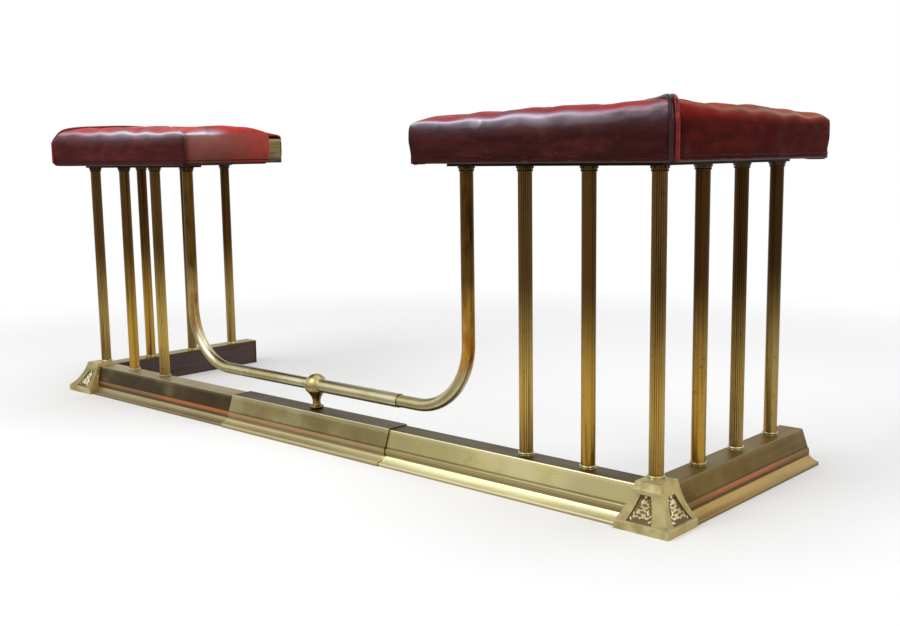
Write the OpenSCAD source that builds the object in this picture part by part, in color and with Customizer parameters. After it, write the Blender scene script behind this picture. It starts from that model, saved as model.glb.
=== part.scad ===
// Extending brass club fender with two padded corner seats.
// X runs along the hearth, the front faces -Y and Z points up.
// The origin is on the floor, under the middle of the overall box.
// Everything right of the middle is drawn once and mirrored for the left half.

/* [Layout] */
// Distance between the two corner posts, axis to axis
post_span = 1268; // [1240:2:1400]
// Distance from one post to the next, along the front and along the returns
post_pitch = 102; // [98:1:106]
// Height of the posts from the kerb's top to the seat straps
post_h = 388; // [340:2:430]

/* [Kerb] */
// Height of the kerb
kerb_h = 50; // [46:1:56]
// Top of the kerb, from the line of the posts inwards
kerb_in = 12; // [11.5:0.5:15]
// Top of the kerb, from the line of the posts outwards
kerb_out = 23; // [18:1:26]
// Outward lean of the kerb's upper face
kerb_batter = 9; // [5:1:11]
// Height of the bead's lower edge above the floor
bead_z = 13; // [11:0.5:16]
// Height of the bead between the upper face and the flare
bead_h = 10.5; // [8:0.5:13]
// How far the bead stands proud of the upper face
bead_proud = 1.25; // [1:0.25:2]
// Reach of the kerb's foot, from the line of the posts outwards
lip_out = 49; // [45:1:52]
// Height of the upright lip at the kerb's foot
lip_h = 5; // [3:0.5:7]
// Thickness of the brass sheet
sheet_t = 1.5; // [1:0.1:2]
// Length of the return kerb behind its last post
kerb_tail = 57; // [30:1:57]
// How far the brass folds down over the kerb's inner face
fold_h = 4; // [3:0.5:8]

/* [Sliding sleeve] */
// Length of the kerb sleeve
sleeve_len = 380; // [340:2:420]
// Clearance between the kerb and the sleeve that slides over it
sleeve_clear = 0.3; // [0.2:0.05:0.5]
// Distance from the middle to the hidden end of each front kerb
kerb_hidden_end = 60; // [50:1:80]

/* [Corner block] */
// Height of the corner block above the kerb's top
block_rise = 5.5; // [3:0.5:9]
// Top of the corner block, from the corner post's axis to its front face
block_top_out = 27; // [25:0.5:30]
// Top of the corner block, from the corner post's axis to its side face
block_top_side = 24; // [24:0.5:30]
// Top of the corner block, from the corner post's axis towards the sleeve
block_top_in = 13; // [12:0.5:15]
// Top of the corner block, from the corner post's axis towards the wall
block_top_back = 11.5; // [11.5:0.5:15]
// Foot of the corner block, from the corner post's axis to its front face
block_foot_out = 55; // [55:0.5:58]
// Foot of the corner block, from the corner post's axis to its side face
block_foot_side = 51; // [51:0.5:58]
// Foot of the corner block, from the corner post's axis towards the sleeve
block_foot_in = 26; // [22:0.5:33]
// Foot of the corner block, from the corner post's axis towards the wall
block_foot_back = 14; // [14:0.5:33]
// Height of the upright band at the block's foot
block_band = 10; // [7:0.5:11]
// Wall of the cast block
block_wall = 4; // [3.5:0.25:5]
// Depth of the sunk panels in the block's two faces
panel_depth = 2; // [1:0.25:2.5]
// Length of the tongue that enters each kerb
tongue_len = 22; // [18:1:28]
// Width of the tongue
tongue_w = 16; // [12:1:18]
// Height of the tongue
tongue_h = 12; // [10:1:16]

/* [Posts] */
// Diameter of the post tubes
post_d = 19; // [18:0.5:20]
// Wall of the post tubes
post_wall = 1.2; // [1:0.1:1.6]
// Number of reeds round a reeded post
reeds = 20; // [16:1:24]
// Diameter of the collar at the foot of a post
collar_d = 22.6; // [21.5:0.1:23]
// Height of the collar
collar_h = 4; // [3:0.5:6]
// Diameter of the cap at the head of a post
cap_d = 23.6; // [22:0.1:25]
// Height of the cap
cap_h = 7; // [5:0.5:9]
// Diameter of the tie rods inside the posts
rod_d = 6; // [5:0.5:8]

/* [Rail] */
// Height of the rail's axis above the kerb's top
rail_rise = 40; // [36:1:50]
// Radius of the elbow's bend, on its axis
elbow_r = 100; // [80:2:115]
// Wall of the outer rail tube
rail_wall = 1.2; // [1:0.1:1.6]
// Radial clearance between the elbow tubes and the outer rail tube
rail_clear = 0.05; // [0.02:0.01:0.1]
// Distance from the middle to the hidden end of the left elbow tube
left_rail_end = 58; // [56:1:62]
// Distance from the middle to the hidden end of the right elbow tube
right_rail_end = 112; // [108:1:114]
// Diameter of the ball in the middle of the rail
ball_d = 36; // [33:0.5:40]
// Diameter of the stem's foot
stem_foot_d = 21; // [18:0.5:24]
// Diameter of the stem's waist
stem_waist_d = 12.5; // [11:0.5:15]

/* [Seat] */
// Width of each seat arm
seat_w = 184; // [170:2:196]
// Reach of the seat, from the line of the posts outwards
seat_out = 52; // [46:1:52]
// Reach of the front seat arm past the elbow
seat_head = 62; // [50:1:70]
// Reach of the return seat arm past the last post
seat_tail = 56; // [50:1:62]
// Width of the straps that join the heads of the posts
strap_w = 25; // [24:1:32]
// Thickness of the straps
strap_t = 4; // [3:0.5:6]
// Thickness of the seat board, and the height of the binding round it
board_t = 9; // [8:0.5:12]
// Thickness of the binding
binding_t = 3; // [2:0.5:4]
// Height of the timber rail along the fire side of the seat
side_rail_h = 40; // [30:1:41]
// Thickness of that rail
side_rail_t = 14; // [10:1:18]
// Thickness of the brass plate on that rail
plate_t = 1.2; // [0.8:0.1:1.6]
// Height of the cushion's upright face
cushion_face_h = 47; // [43:1:50]
// Radius of the cushion's upper edge
cushion_edge_r = 12; // [10:1:18]
// Height of the crown above the upper edge
crown_h = 6; // [3:0.5:10]
// Extra height of the stuffing at the outer corner
corner_rise = 8; // [0:1:12]
// How much lower the stuffing lies near an arm's free end
end_fall = 6; // [0:1:8]
// Radius of the cushion's free corners in plan
cushion_corner_r = 4; // [4:0.5:6]
// Swell of the cushion's sides
cushion_swell = 1.5; // [0.5:0.25:2]
// How far the cushion's sides draw in at the bottom
cushion_draw = 1.5; // [0.5:0.25:2.5]
// Distance between the buttons along the seat
tuft_pitch = 78; // [70:1:90]
// Depth of the buttoned hollows
tuft_depth = 8; // [4:0.5:10]
// Depth of the pleats at the cushion's edges
pleat_depth = 3; // [1:0.5:4]
// Radius of the two cords sewn down the seat's outer corner
cord_r = 2.75; // [2:0.05:2.75]

/* [Hidden] */
$fn = 48;
touch = 0.02;                                // gap between turned parts that sit on each other
cut = 1;                                     // how far a cutting shape runs past what it cuts
thread_clear = 0.05;                         // radial gap at a thread
fit = 0.2;                                   // gap round parts that slot together
post_r = post_d / 2;
corner_x = post_span / 2;
elbow_x = corner_x - 3 * post_pitch;
kerb_end = 3 * post_pitch + kerb_tail;       // from the front line of posts
seat_end = 3 * post_pitch + seat_tail;       // from the front line of posts
front_y = (block_foot_out - seat_end - cushion_swell) / 2;
block_h = kerb_h + block_rise;
strap_z = kerb_h + post_h;
board_z = strap_z + strap_t;
cushion_z = board_z + board_t;
rail_b = seat_w - binding_t;                 // fire side of the timber rail, across the arm
rebate_b = rail_b - side_rail_t;             // its other side, where the padding begins
rail_z = kerb_h + rail_rise;
rail_outer_r = post_r + rail_clear + rail_wall;
bead_foot = [kerb_out + kerb_batter + 2, bead_z];
sleeve_grow = sleeve_clear + sheet_t;
sleeve_top = kerb_h + sleeve_grow;
sheet_core = -sheet_t;                       // the core fills the sheet exactly
nut_h = 5;
nut_across = 10;
nut_recess_d = 16;
nut_z = 4;                                   // underside of the nuts above the floor
boss_d = 20;
tongue_start = boss_d / 2 - 4;               // well inside the boss, where the two tongues join
screw_d = 4;
screw_head_d = 8;
screw_head_h = 2.4;
front_arm = seat_out + corner_x - elbow_x + seat_head;
return_arm = seat_out + seat_end;
tuft_rows = [1 / 3, 2 / 3];                  // across the seat, as shares of its width
tuft_spread = 14;                            // width of a buttoned hollow
tuft_margin = 40;                            // no button nearer the free end than this
end_slope = 0.7;                             // the free end rounds over more gently than the sides
corner_spread = 55;                          // how far the extra stuffing at the corner reaches
steps_along = 30;
steps_across = 12;
cord_notch = 3 * cord_r;                     // corner cut off the cushions for the two cords
cord_gap = 0.2;

brass = [0.71, 0.58, 0.33];
dark_brass = [0.55, 0.44, 0.25];
leather = [0.42, 0.09, 0.08];
timber = [0.30, 0.20, 0.14];
iron = [0.25, 0.24, 0.23];

// ---- shared functions and placements ----

// Points of a curve from p to r that leaves p towards q.
function curve(p, q, r, n) =
    [for (i = [0:n]) let (t = i / n) (1 - t) * (1 - t) * p + 2 * t * (1 - t) * q + t * t * r];

// Points of an arc round c, from angle a0 to angle a1.
function arc(c, r, a0, a1, n) =
    [for (i = [0:n]) let (a = a0 + (a1 - a0) * i / n) c + r * [cos(a), sin(a)]];

// The kerb's section, outwards along x and upwards along y, grown by g all round but the floor.
function kerb_section(g = 0) =
    let (
        bead_top = [kerb_out + kerb_batter, bead_z + bead_h],
        bead_mid = [kerb_out + kerb_batter + bead_proud + 1, bead_z + bead_h / 2],
        lip_top = [lip_out - 1.5, lip_h],
        outer = concat(
            [[kerb_out - 1.2, kerb_h], [kerb_out - 0.3, kerb_h - 0.3], [kerb_out + 0.3, kerb_h - 1.2]],
            curve(bead_top, [bead_mid[0], bead_top[1]], bead_mid, 4),
            curve(bead_mid, [bead_mid[0], bead_foot[1]], bead_foot, 4),
            curve(bead_foot, [bead_foot[0] + 5, lip_h + 2.5], lip_top, 8),
            [[lip_out - 0.4, lip_h - 0.4], [lip_out, lip_h - 1.5]]
        )
    )
    concat(
        [[-kerb_in - g, 0], [-kerb_in - g, kerb_h + g]],
        [for (p = outer) p + [g, g]],
        [[lip_out + g, 0]]
    );

// Draws its 2D child, given as outwards and up, along the front from x0 to x1.
module along_front(x0, x1) {
    translate([x0, front_y, 0]) rotate([90, 0, 90])
        linear_extrude(x1 - x0) mirror([1, 0]) children();
}

// The same along the right return, from y0 to y1 behind the front line of posts.
module along_return(y0, y1) {
    translate([corner_x, front_y + y1, 0]) rotate([90, 0, 0])
        linear_extrude(y1 - y0) children();
}

module left() { mirror([1, 0, 0]) children(); }

// The places of the posts on the right half, seen from the corner post.
front_places = [for (i = [1:2]) [corner_x - i * post_pitch, front_y]];
return_places = [for (i = [1:3]) [corner_x, front_y + i * post_pitch]];
kerb_places = concat(front_places, return_places);
corner_place = [corner_x, front_y];
elbow_place = [elbow_x, front_y];

module at(place, z = 0) { translate([place[0], place[1], z]) children(); }

// ---- kerb ----

// Holes for the tie rods and their nuts, cut through a kerb's core.
module rod_holes(places) {
    for (place = places) {
        at(place, -cut) cylinder(h = kerb_h + 2 * cut, d = rod_d + 2 * fit);
        at(place, -cut) cylinder(h = nut_z + nut_h + cut, d = nut_recess_d);
    }
}

// The brass of a kerb: the section's sheet, folded down over the inner face.
module kerb_sheet() {
    difference() {
        polygon(kerb_section());
        polygon(kerb_section(sheet_core));
        translate([-kerb_in - cut, -cut]) square([2 * sheet_t + cut, kerb_h - fold_h + cut]);
    }
}

module front_kerb() {
    color(brass)
    difference() {
        along_front(kerb_hidden_end, corner_x - block_top_in) kerb_sheet();
        block_form();
        rod_holes(front_places);
    }
}

module return_kerb() {
    color(brass)
    difference() {
        union() {
            along_return(block_top_back, kerb_end) kerb_sheet();
            along_return(kerb_end - sheet_t, kerb_end) polygon(kerb_section());
        }
        block_form();
        rod_holes(return_places);
    }
}

module front_kerb_core() {
    color(timber)
    difference() {
        along_front(kerb_hidden_end, corner_x - block_top_in) core_section();
        block_form();
        rod_holes(front_places);
        front_tongue(fit);
        block_screw_front(fit);
    }
}

module return_kerb_core() {
    color(timber)
    difference() {
        along_return(block_top_back, kerb_end - sheet_t) core_section();
        block_form();
        rod_holes(return_places);
        return_tongue(fit);
        block_screw_return(fit);
    }
}

module core_section() {
    polygon(kerb_section(sheet_core));
}

module kerb_sleeve() {
    color(brass)
    difference() {
        along_front(-sleeve_len / 2, sleeve_len / 2)
            difference() {
                polygon(kerb_section(sleeve_grow));
                translate([0, -cut]) polygon(kerb_section(sleeve_clear));
                polygon(kerb_section(sleeve_clear));
            }
        at([0, front_y], kerb_h) cylinder(h = 2 * sleeve_grow, d = rod_d + 2 * thread_clear);
    }
}

// ---- corner block ----

// A flared section of the block, grown by g: top and foot on its outer side, then on its inner.
function block_section(top_out, foot_out, top_in, foot_in, g = 0) =
    let (
        z = block_h + g,
        rise = z - block_band,
        flare = curve([0, 0], [0.25, 0.62], [1, 1], 8)
    )
    concat(
        [for (p = flare) [top_out + g + (foot_out - top_out) * p[0], z - rise * p[1]]],
        [[foot_out + g, g < 0 ? -cut : 0], [-foot_in - g, g < 0 ? -cut : 0]],
        [for (i = [8:-1:0]) let (p = flare[i])
            [-top_in - g - (foot_in - top_in) * p[0], z - rise * p[1]]]
    );

module block_form(g = 0) {
    reach = 2 * block_foot_out;
    intersection() {
        along_front(corner_x - reach, corner_x + reach)
            polygon(block_section(block_top_out, block_foot_out, block_top_back, block_foot_back, g));
        along_return(-reach, reach)
            polygon(block_section(block_top_side, block_foot_side, block_top_in, block_foot_in, g));
    }
}

// The outline of a sunk panel, from and to these distances across the face from the post's axis.
module panel_outline(foot_from, foot_to, top_from, top_to) {
    low = block_band + 2;
    high = 0.74 * block_h;
    polygon([[foot_from, low], [foot_to, low], [top_to, high], [top_from, high]]);
}

module front_panel_prism() {
    translate([corner_x, front_y, 0]) rotate([90, 0, 0])
        linear_extrude(2 * block_foot_out)
            panel_outline(-0.37 * block_foot_in, 0.51 * block_foot_side,
                -0.19 * block_top_in, 0.52 * block_top_side);
}

module return_panel_prism() {
    translate([corner_x, front_y, 0]) rotate([90, 0, 90])
        linear_extrude(2 * block_foot_out) mirror([1, 0])
            panel_outline(-0.32 * block_foot_back, 0.69 * block_foot_out,
                0.26 * block_top_back, 0.67 * block_top_out);
}

module front_tongue(g = 0) {
    x = corner_x - block_top_in - tongue_len;
    translate([x - g, front_y - tongue_w / 2 - g, kerb_h / 2 - tongue_h / 2 - g])
        cube([tongue_len + block_top_in - tongue_start + g, tongue_w + 2 * g, tongue_h + 2 * g]);
}

module return_tongue(g = 0) {
    translate([corner_x - tongue_w / 2 - g, front_y + tongue_start, kerb_h / 2 - tongue_h / 2 - g])
        cube([tongue_w + 2 * g, tongue_len + block_top_in - tongue_start + g, tongue_h + 2 * g]);
}

module corner_block() {
    color(brass)
    difference() {
        union() {
            difference() {
                block_form();
                difference() {
                    block_form(-block_wall);
                    at(corner_place, nut_z + nut_h) cylinder(h = block_h, d = boss_d);
                }
                difference() {
                    union() {
                        front_panel_prism();
                        return_panel_prism();
                    }
                    block_form(-panel_depth);
                }
            }
            front_tongue();
            return_tongue();
        }
        at(corner_place, -cut) cylinder(h = block_h + 2 * cut, d = rod_d + 2 * fit);
        block_screw_front(thread_clear);
        block_screw_return(thread_clear);
    }
}

// A screw driven up through the core into a tongue.
module block_screw(g = 0) {
    top = kerb_h / 2 + 3;
    translate([0, 0, nut_z - (g > 0 ? nut_z + cut : 0)])
        cylinder(h = screw_head_h + (g > 0 ? nut_z + cut : 0), d = screw_head_d + 2 * g);
    translate([0, 0, nut_z]) cylinder(h = top - nut_z, d = screw_d + 2 * g);
}

module block_screw_front(g = 0) {
    translate([corner_x - block_top_in - tongue_len * 0.6, front_y, 0]) block_screw(g);
}

module block_screw_return(g = 0) {
    translate([corner_x, front_y + block_top_in + tongue_len * 0.6, 0]) block_screw(g);
}

// ---- posts ----

module plain_post(place, foot = kerb_h) {
    color(brass) at(place, foot)
    linear_extrude(strap_z - foot)
        difference() {
            circle(r = post_r);
            circle(r = post_r - post_wall);
        }
}

// Reeds are half-round ribs side by side, each overlapping the next a little.
module reeded_post(place, foot = kerb_h) {
    reed_share = sin(180 / reeds) * 1.06;
    ring_r = post_r / (1 + reed_share);
    color(brass) at(place, foot)
    linear_extrude(strap_z - foot)
        difference() {
            union() {
                circle(r = ring_r);
                for (i = [0:reeds - 1])
                    rotate(360 * i / reeds) translate([ring_r, 0])
                        circle(r = ring_r * reed_share, $fn = 16);
            }
            circle(r = post_r - 2 * post_wall);
        }
}

module collar() {
    inner = post_r + touch;
    outer = collar_d / 2;
    rotate_extrude()
        polygon(concat(
            [[inner, 0], [outer - 0.3, 0], [outer, 0.4]],
            arc([outer - 1.2, collar_h - 1.2], 1.2, 0, 90, 4),
            [[inner, collar_h]]
        ));
}

module cap() {
    inner = post_r + touch;
    outer = cap_d / 2;
    neck = (inner + outer) / 2 + 0.2;
    rotate_extrude()
        polygon(concat(
            [[inner, 0], [neck - 0.6, 0]],
            arc([neck - 0.6, 0.8], 0.8, -90, 90, 6),
            curve([neck - 0.5, 1.6], [neck - 0.5, cap_h - 3.2], [outer, cap_h - 2.8], 5),
            [[outer, cap_h - 0.4], [outer - 0.4, cap_h], [inner, cap_h]]
        ));
}

module post_collars() {
    color(brass) {
        for (place = kerb_places) at(place, kerb_h) collar();
        at(corner_place, block_h) collar();
    }
}

module post_caps() {
    color(dark_brass)
        for (place = concat(kerb_places, [corner_place, elbow_place]))
            at(place, strap_z - cap_h) cap();
}

module tie_rods() {
    color(iron)
        for (place = concat(kerb_places, [corner_place]))
            at(place, nut_z - 2) cylinder(h = board_z - touch - nut_z + 2, d = rod_d);
}

module tie_nuts() {
    color(iron)
        for (place = concat(kerb_places, [corner_place]))
            at(place, nut_z)
            difference() {
                cylinder(h = nut_h, d = nut_across / cos(30), $fn = 6);
                translate([0, 0, -cut]) cylinder(h = nut_h + 2 * cut, d = rod_d + 2 * thread_clear);
            }
}

// ---- rail ----

module ring(outer, inner) {
    difference() {
        circle(r = outer);
        circle(r = inner);
    }
}

module elbow_tube(hidden_end) {
    inner = post_r - post_wall;
    bend_z = rail_z + elbow_r;
    color(brass) {
        at(elbow_place, bend_z) linear_extrude(strap_z - bend_z) ring(post_r, inner);
        translate([elbow_x - elbow_r, front_y, bend_z]) rotate([-90, 0, 0])
            rotate_extrude(angle = 90) translate([elbow_r, 0]) ring(post_r, inner);
        translate([hidden_end, front_y, rail_z]) rotate([90, 0, 90])
            linear_extrude(elbow_x - elbow_r - hidden_end) ring(post_r, inner);
    }
}

// A plug brazed into the head of the elbow, with a stud that screws into the strap.
module elbow_stud() {
    plug_h = 20;
    color(iron) {
        at(elbow_place, strap_z - plug_h) cylinder(h = plug_h, r = post_r - post_wall - touch);
        at(elbow_place, strap_z - cut) cylinder(h = strap_t - touch + cut, d = rod_d);
    }
}

module rail_outer_tube() {
    color(brass)
    translate([-ball_d / 2, front_y, rail_z]) rotate([90, 0, 90])
        linear_extrude(ball_d / 2 + sleeve_len / 2) ring(rail_outer_r, post_r + rail_clear);
}

module rail_ball() {
    bore_r = rail_outer_r + touch;
    color(brass)
    translate([0, front_y, rail_z]) rotate([0, 90, 0]) rotate_extrude()
        intersection() {
            circle(d = ball_d);
            translate([bore_r, -ball_d]) square([ball_d, 2 * ball_d]);
        }
}

// A turned stem: a round foot, a waist and a cup that holds the ball.
module ball_stem() {
    foot_r = stem_foot_d / 2;
    waist_r = stem_waist_d / 2;
    rise = rail_z - sleeve_top;
    cup_r = ball_d / 2 - 1.6;
    cup_z = rise - ball_d / 4;
    waist_z = rise * 0.29;
    color(brass)
    difference() {
        at([0, front_y], sleeve_top) rotate_extrude()
            polygon(concat(
                [[0, 0], [foot_r - 0.8, 0]],
                arc([foot_r - 2, 2.8], 2.6, -50, 60, 5),
                curve([foot_r - 2.4, 5.4], [waist_r, 6.4], [waist_r, waist_z], 5),
                curve([waist_r, waist_z], [waist_r, rise * 0.5], [cup_r, cup_z], 8),
                [[cup_r + 0.9, cup_z + 0.4], [cup_r + 0.9, cup_z + 2], [0, cup_z + 2]]
            ));
        translate([0, front_y, rail_z]) rotate([0, 90, 0]) {
            sphere(r = ball_d / 2 + touch);
            cylinder(h = 2 * ball_d, r = rail_outer_r + touch, center = true);
        }
        at([0, front_y], sleeve_top - cut) cylinder(h = 12 + cut, d = rod_d + 2 * thread_clear);
    }
}

module stem_screw() {
    head_h = 4;
    color(iron) {
        at([0, front_y], kerb_h + sleeve_clear - head_h) cylinder(h = head_h, d = 11);
        at([0, front_y], kerb_h + sleeve_clear - cut) cylinder(h = sheet_t + 11 + cut, d = rod_d);
    }
}

// ---- seat carriers ----

// A countersunk screw, its head flush with the strap's underside, or its hole with a gap of g.
module strap_screw(g = 0) {
    cylinder(h = screw_head_h, d1 = screw_head_d + 2 * g, d2 = screw_d + 2 * g);
    if (g > 0) translate([0, 0, -cut]) cylinder(h = cut + touch, d = screw_head_d + 2 * g);
    cylinder(h = strap_t + board_t * 0.75 + g, d = screw_d + 2 * g);
}

front_screw_places = [for (i = [0.5:1:2.5]) [corner_x - i * post_pitch, front_y]];
return_screw_places = [for (i = [0.5:1:2.5]) [corner_x, front_y + i * post_pitch]];

module strap_screws(g = 0) {
    for (place = concat(front_screw_places, return_screw_places))
        at(place, strap_z) strap_screw(g);
}

module wood_screws() {
    color(iron) {
        strap_screws();
        block_screw_front();
        block_screw_return();
    }
}

module front_strap() {
    x0 = elbow_x - strap_w;
    color(iron)
    difference() {
        translate([x0, front_y - strap_w / 2, strap_z])
            cube([corner_x + strap_w / 2 - x0, strap_w, strap_t]);
        strap_holes(concat(front_places, [corner_place, elbow_place]));
        strap_screws(thread_clear);
    }
}

module return_strap() {
    y0 = front_y + strap_w / 2;
    color(iron)
    difference() {
        translate([corner_x - strap_w / 2, y0, strap_z])
            cube([strap_w, 3 * post_pitch, strap_t]);
        strap_holes(return_places);
        strap_screws(thread_clear);
    }
}

module strap_holes(places) {
    for (place = places)
        at(place, strap_z - cut) cylinder(h = strap_t + 2 * cut, d = rod_d + 2 * thread_clear);
}

// An arm of the seat is drawn with its length along x and its width along y, from the
// outer corner, with the mitre on the line x = y, and is then turned to its place.
module as_front_arm() {
    translate([corner_x + seat_out, front_y - seat_out, 0]) mirror([1, 0, 0]) children();
}

module as_return_arm() {
    translate([corner_x + seat_out, front_y - seat_out, 0]) rotate([0, 0, 90]) children();
}

// Plan of an arm, drawn in by d on its three free sides, with round free corners.
function arm_plan(len, d = 0) =
    let (r = cushion_corner_r - d, near = cushion_corner_r, far = seat_w - cushion_corner_r)
    concat(
        [[d, d]],
        arc([len - near, near], r, -90, 0, 6),
        arc([len - near, far], r, 0, 90, 6),
        [[seat_w - d, seat_w - d]]
    );

// The board and, standing on its fire side, the timber rail.
module seat_frame(len) {
    translate([0, 0, board_z]) linear_extrude(board_t) polygon(arm_plan(len, binding_t));
    translate([0, 0, cushion_z]) linear_extrude(side_rail_h) fire_side_strip(len, rebate_b, rail_b);
}

// A strip along the fire side, from b0 to b1 across the arm, its free end cut at 45 degrees.
module fire_side_strip(len, b0, b1) {
    end = len - cushion_corner_r - seat_w - fit;
    polygon([[b0, b0], [end + b0, b0], [end + b1, b1], [b1, b1]]);
}

module front_seat_frame() {
    color(timber)
    difference() {
        as_front_arm() seat_frame(front_arm);
        strap_screws(thread_clear);
    }
}

module return_seat_frame() {
    color(timber)
    difference() {
        as_return_arm() seat_frame(return_arm);
        strap_screws(thread_clear);
    }
}

// A brass plate on the fire side of the timber rail, with a raised bar along its top.
module plate_on_arm(len) {
    bar_h = side_rail_h * 0.15;
    translate([0, 0, cushion_z]) linear_extrude(side_rail_h)
        fire_side_strip(len, rail_b, rail_b + plate_t);
    translate([0, 0, cushion_z + side_rail_h - bar_h]) linear_extrude(bar_h)
        fire_side_strip(len, rail_b, rail_b + 2 * plate_t);
}

module fireside_plate() {
    color(brass) {
        as_front_arm() plate_on_arm(front_arm);
        as_return_arm() plate_on_arm(return_arm);
    }
}

module arm_binding(len) {
    translate([0, 0, board_z]) linear_extrude(board_t)
        difference() {
            polygon(arm_plan(len));
            polygon(arm_plan(len, binding_t));
        }
}

module edge_binding() {
    color(leather) {
        as_front_arm() arm_binding(front_arm);
        as_return_arm() arm_binding(return_arm);
    }
}

// ---- cushions ----

// 0 at the cushion's edge and 1 where its rounded edge ends.
function edge_rise(d) =
    let (q = min(1, max(0, d) / cushion_edge_r)) sqrt(1 - (1 - q) * (1 - q));

// End of the arm at b across it, with round corners, drawn in by d.
function arm_end(len, b, d) =
    let (
        r = cushion_corner_r,
        q = min(1, max(0, (b - d) / r), max(0, (seat_w - d - b) / r))
    )
    len - d - r + r * sqrt(1 - (1 - q) * (1 - q));

// A point of the plan: i of the way along the arm and j of the way across it.
function arm_point(len, i, j, d) =
    let (
        b = d + (seat_w - 2 * d) * (1 - cos(180 * j / steps_across)) / 2,
        start = max(b, cord_notch - b),
        end = arm_end(len, b, d)
    )
    [start + (end - start) * i / steps_along, b];

// How far the nearest buttons draw the leather down at a along and b across.
function tuft_drop(len, a, b) =
    max([for (row = [0:1], k = [0:ceil(len / tuft_pitch)])
        let (
            ta = tuft_pitch * (k + 0.5 + row / 2),
            tb = seat_w * tuft_rows[row],
            d2 = (a - ta) * (a - ta) + (b - tb) * (b - tb)
        )
        ta > tb && ta < len - tuft_margin ? exp(-d2 / (2 * tuft_spread * tuft_spread)) : 0]);

// Pleats run from the outer row of buttons to the outer edge, and from the inner row to the inner.
function pleat_drop(a, b) =
    let (
        side = b < seat_w / 2 ? 0 : 1,
        wave = (1 + cos(360 * (a / tuft_pitch - 0.5 - side / 2))) / 2,
        near_edge = pow(abs(1 - 2 * b / seat_w), 2)
    )
    wave * near_edge;

function cushion_height(len, a, b, end) =
    let (
        rise = edge_rise(min(b, seat_w - b, (end - a) * end_slope)),
        from_corner = (a * a + b * b) / (corner_spread * corner_spread),
        worn = min(1, max(0, 2 * a / len - 0.9))
    )
    cushion_face_h + cushion_edge_r * rise
        + rise * (crown_h * sin(180 * b / seat_w)
            + corner_rise * exp(-from_corner)
            - end_fall * worn * worn * (3 - 2 * worn)
            - tuft_depth * tuft_drop(len, a, b)
            - pleat_depth * pleat_drop(a, b));

// Going round the edge of the plan, as pairs of steps along and across.
edge_steps = concat(
    [for (i = [0:steps_along - 1]) [i, 0]],
    [for (j = [0:steps_across - 1]) [steps_along, j]],
    [for (i = [steps_along:-1:1]) [i, steps_across]],
    [for (j = [steps_across:-1:1]) [0, j]]
);

// The same edge below the top of the timber rail, which stands in a rebate on the fire side.
function rebated_point(len, i, j, d) =
    let (p = arm_point(len, i, j, d), end = len - cushion_corner_r - seat_w + rebate_b)
    i == steps_along || j < 2 ? p
        : i == 0 ? p * rebate_b / (seat_w - d)
        : [rebate_b + (end - rebate_b) * i / (steps_along - 1), rebate_b];

// The padded leather of one arm: a buttoned crown over sides that swell and draw in.
module padding(len) {
    across = steps_across + 1;
    around = len(edge_steps);
    top = [for (i = [0:steps_along], j = [0:steps_across])
        let (p = arm_point(len, i, j, 0), end = arm_end(len, p[1], 0))
        [p[0], p[1], cushion_height(len, p[0], p[1], end)]];
    over_rail = [for (e = edge_steps)
        concat(arm_point(len, e[0], e[1], -cushion_swell), side_rail_h + 1)];
    sides = [for (s = [
            [side_rail_h + fit, -cushion_swell],
            [cushion_face_h * 0.4, -cushion_swell],
            [0, cushion_draw]
        ], e = edge_steps)
        concat(rebated_point(len, e[0], e[1], s[1]), s[0])];
    under = [len - 0.4 * seat_w, 0.33 * seat_w, 0];
    points = concat(top, over_rail, sides, [under]);
    first = len(top);
    top_faces = [for (i = [0:steps_along - 1], j = [0:steps_across - 1], half = [0:1])
        let (k = i * across + j)
        half == 0 ? [k, k + 1, k + across + 1] : [k, k + across + 1, k + across]];
    rim = [for (e = edge_steps) e[0] * across + e[1]];
    rings = concat([rim], [for (s = [0:3]) [for (n = [0:around - 1]) first + s * around + n]]);
    side_faces = [for (s = [0:3], n = [0:around - 1], half = [0:1])
        let (m = (n + 1) % around, up = rings[s], low = rings[s + 1])
        half == 0 ? [up[n], up[m], low[m]] : [up[n], low[m], low[n]]];
    under_faces = [for (n = [0:around - 1])
        [len(points) - 1, rings[4][n], rings[4][(n + 1) % around]]];
    translate([0, 0, cushion_z])
        polyhedron(points, concat(top_faces, side_faces, under_faces), convexity = 6);
}

module front_cushion() {
    color(leather) as_front_arm() padding(front_arm);
}

module return_cushion() {
    color(leather) as_return_arm() padding(return_arm);
}

// Two cords sewn side by side down the outer corner, in the notch between the cushions.
module corner_welt() {
    depth = cord_notch / sqrt(2) - cord_r - cord_gap;
    top = cushion_face_h + cushion_edge_r / 2;
    color(leather)
        for (side = [-1, 1])
            translate([corner_x + seat_out, front_y - seat_out, cushion_z])
            rotate([0, 0, 135]) translate([depth, side * (cord_r - 0.1), 0])
                cylinder(h = top, r = cord_r);
}

// ---- the whole fender ----

kerb_sleeve();
rail_outer_tube();
rail_ball();
ball_stem();
stem_screw();
left() front_kerb();  // left_front_kerb
left() front_kerb_core();  // left_front_kerb_core
left() return_kerb();  // left_return_kerb
left() return_kerb_core();  // left_return_kerb_core
left() corner_block();  // left_corner_block
left() wood_screws();  // left_wood_screws
left() reeded_post(corner_place, block_h);  // left_corner_post
left() plain_post(front_places[0]);  // left_front_post_plain
left() reeded_post(front_places[1]);  // left_front_post_reeded
left() plain_post(return_places[0]);  // left_return_post_first
left() reeded_post(return_places[1]);  // left_return_post_middle
left() plain_post(return_places[2]);  // left_return_post_last
left() post_collars();  // left_post_collars
left() post_caps();  // left_post_caps
left() tie_rods();  // left_tie_rods
left() tie_nuts();  // left_tie_nuts
left() elbow_tube(-left_rail_end);  // left_elbow_tube
left() elbow_stud();  // left_elbow_stud
left() front_strap();  // left_front_strap
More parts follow.
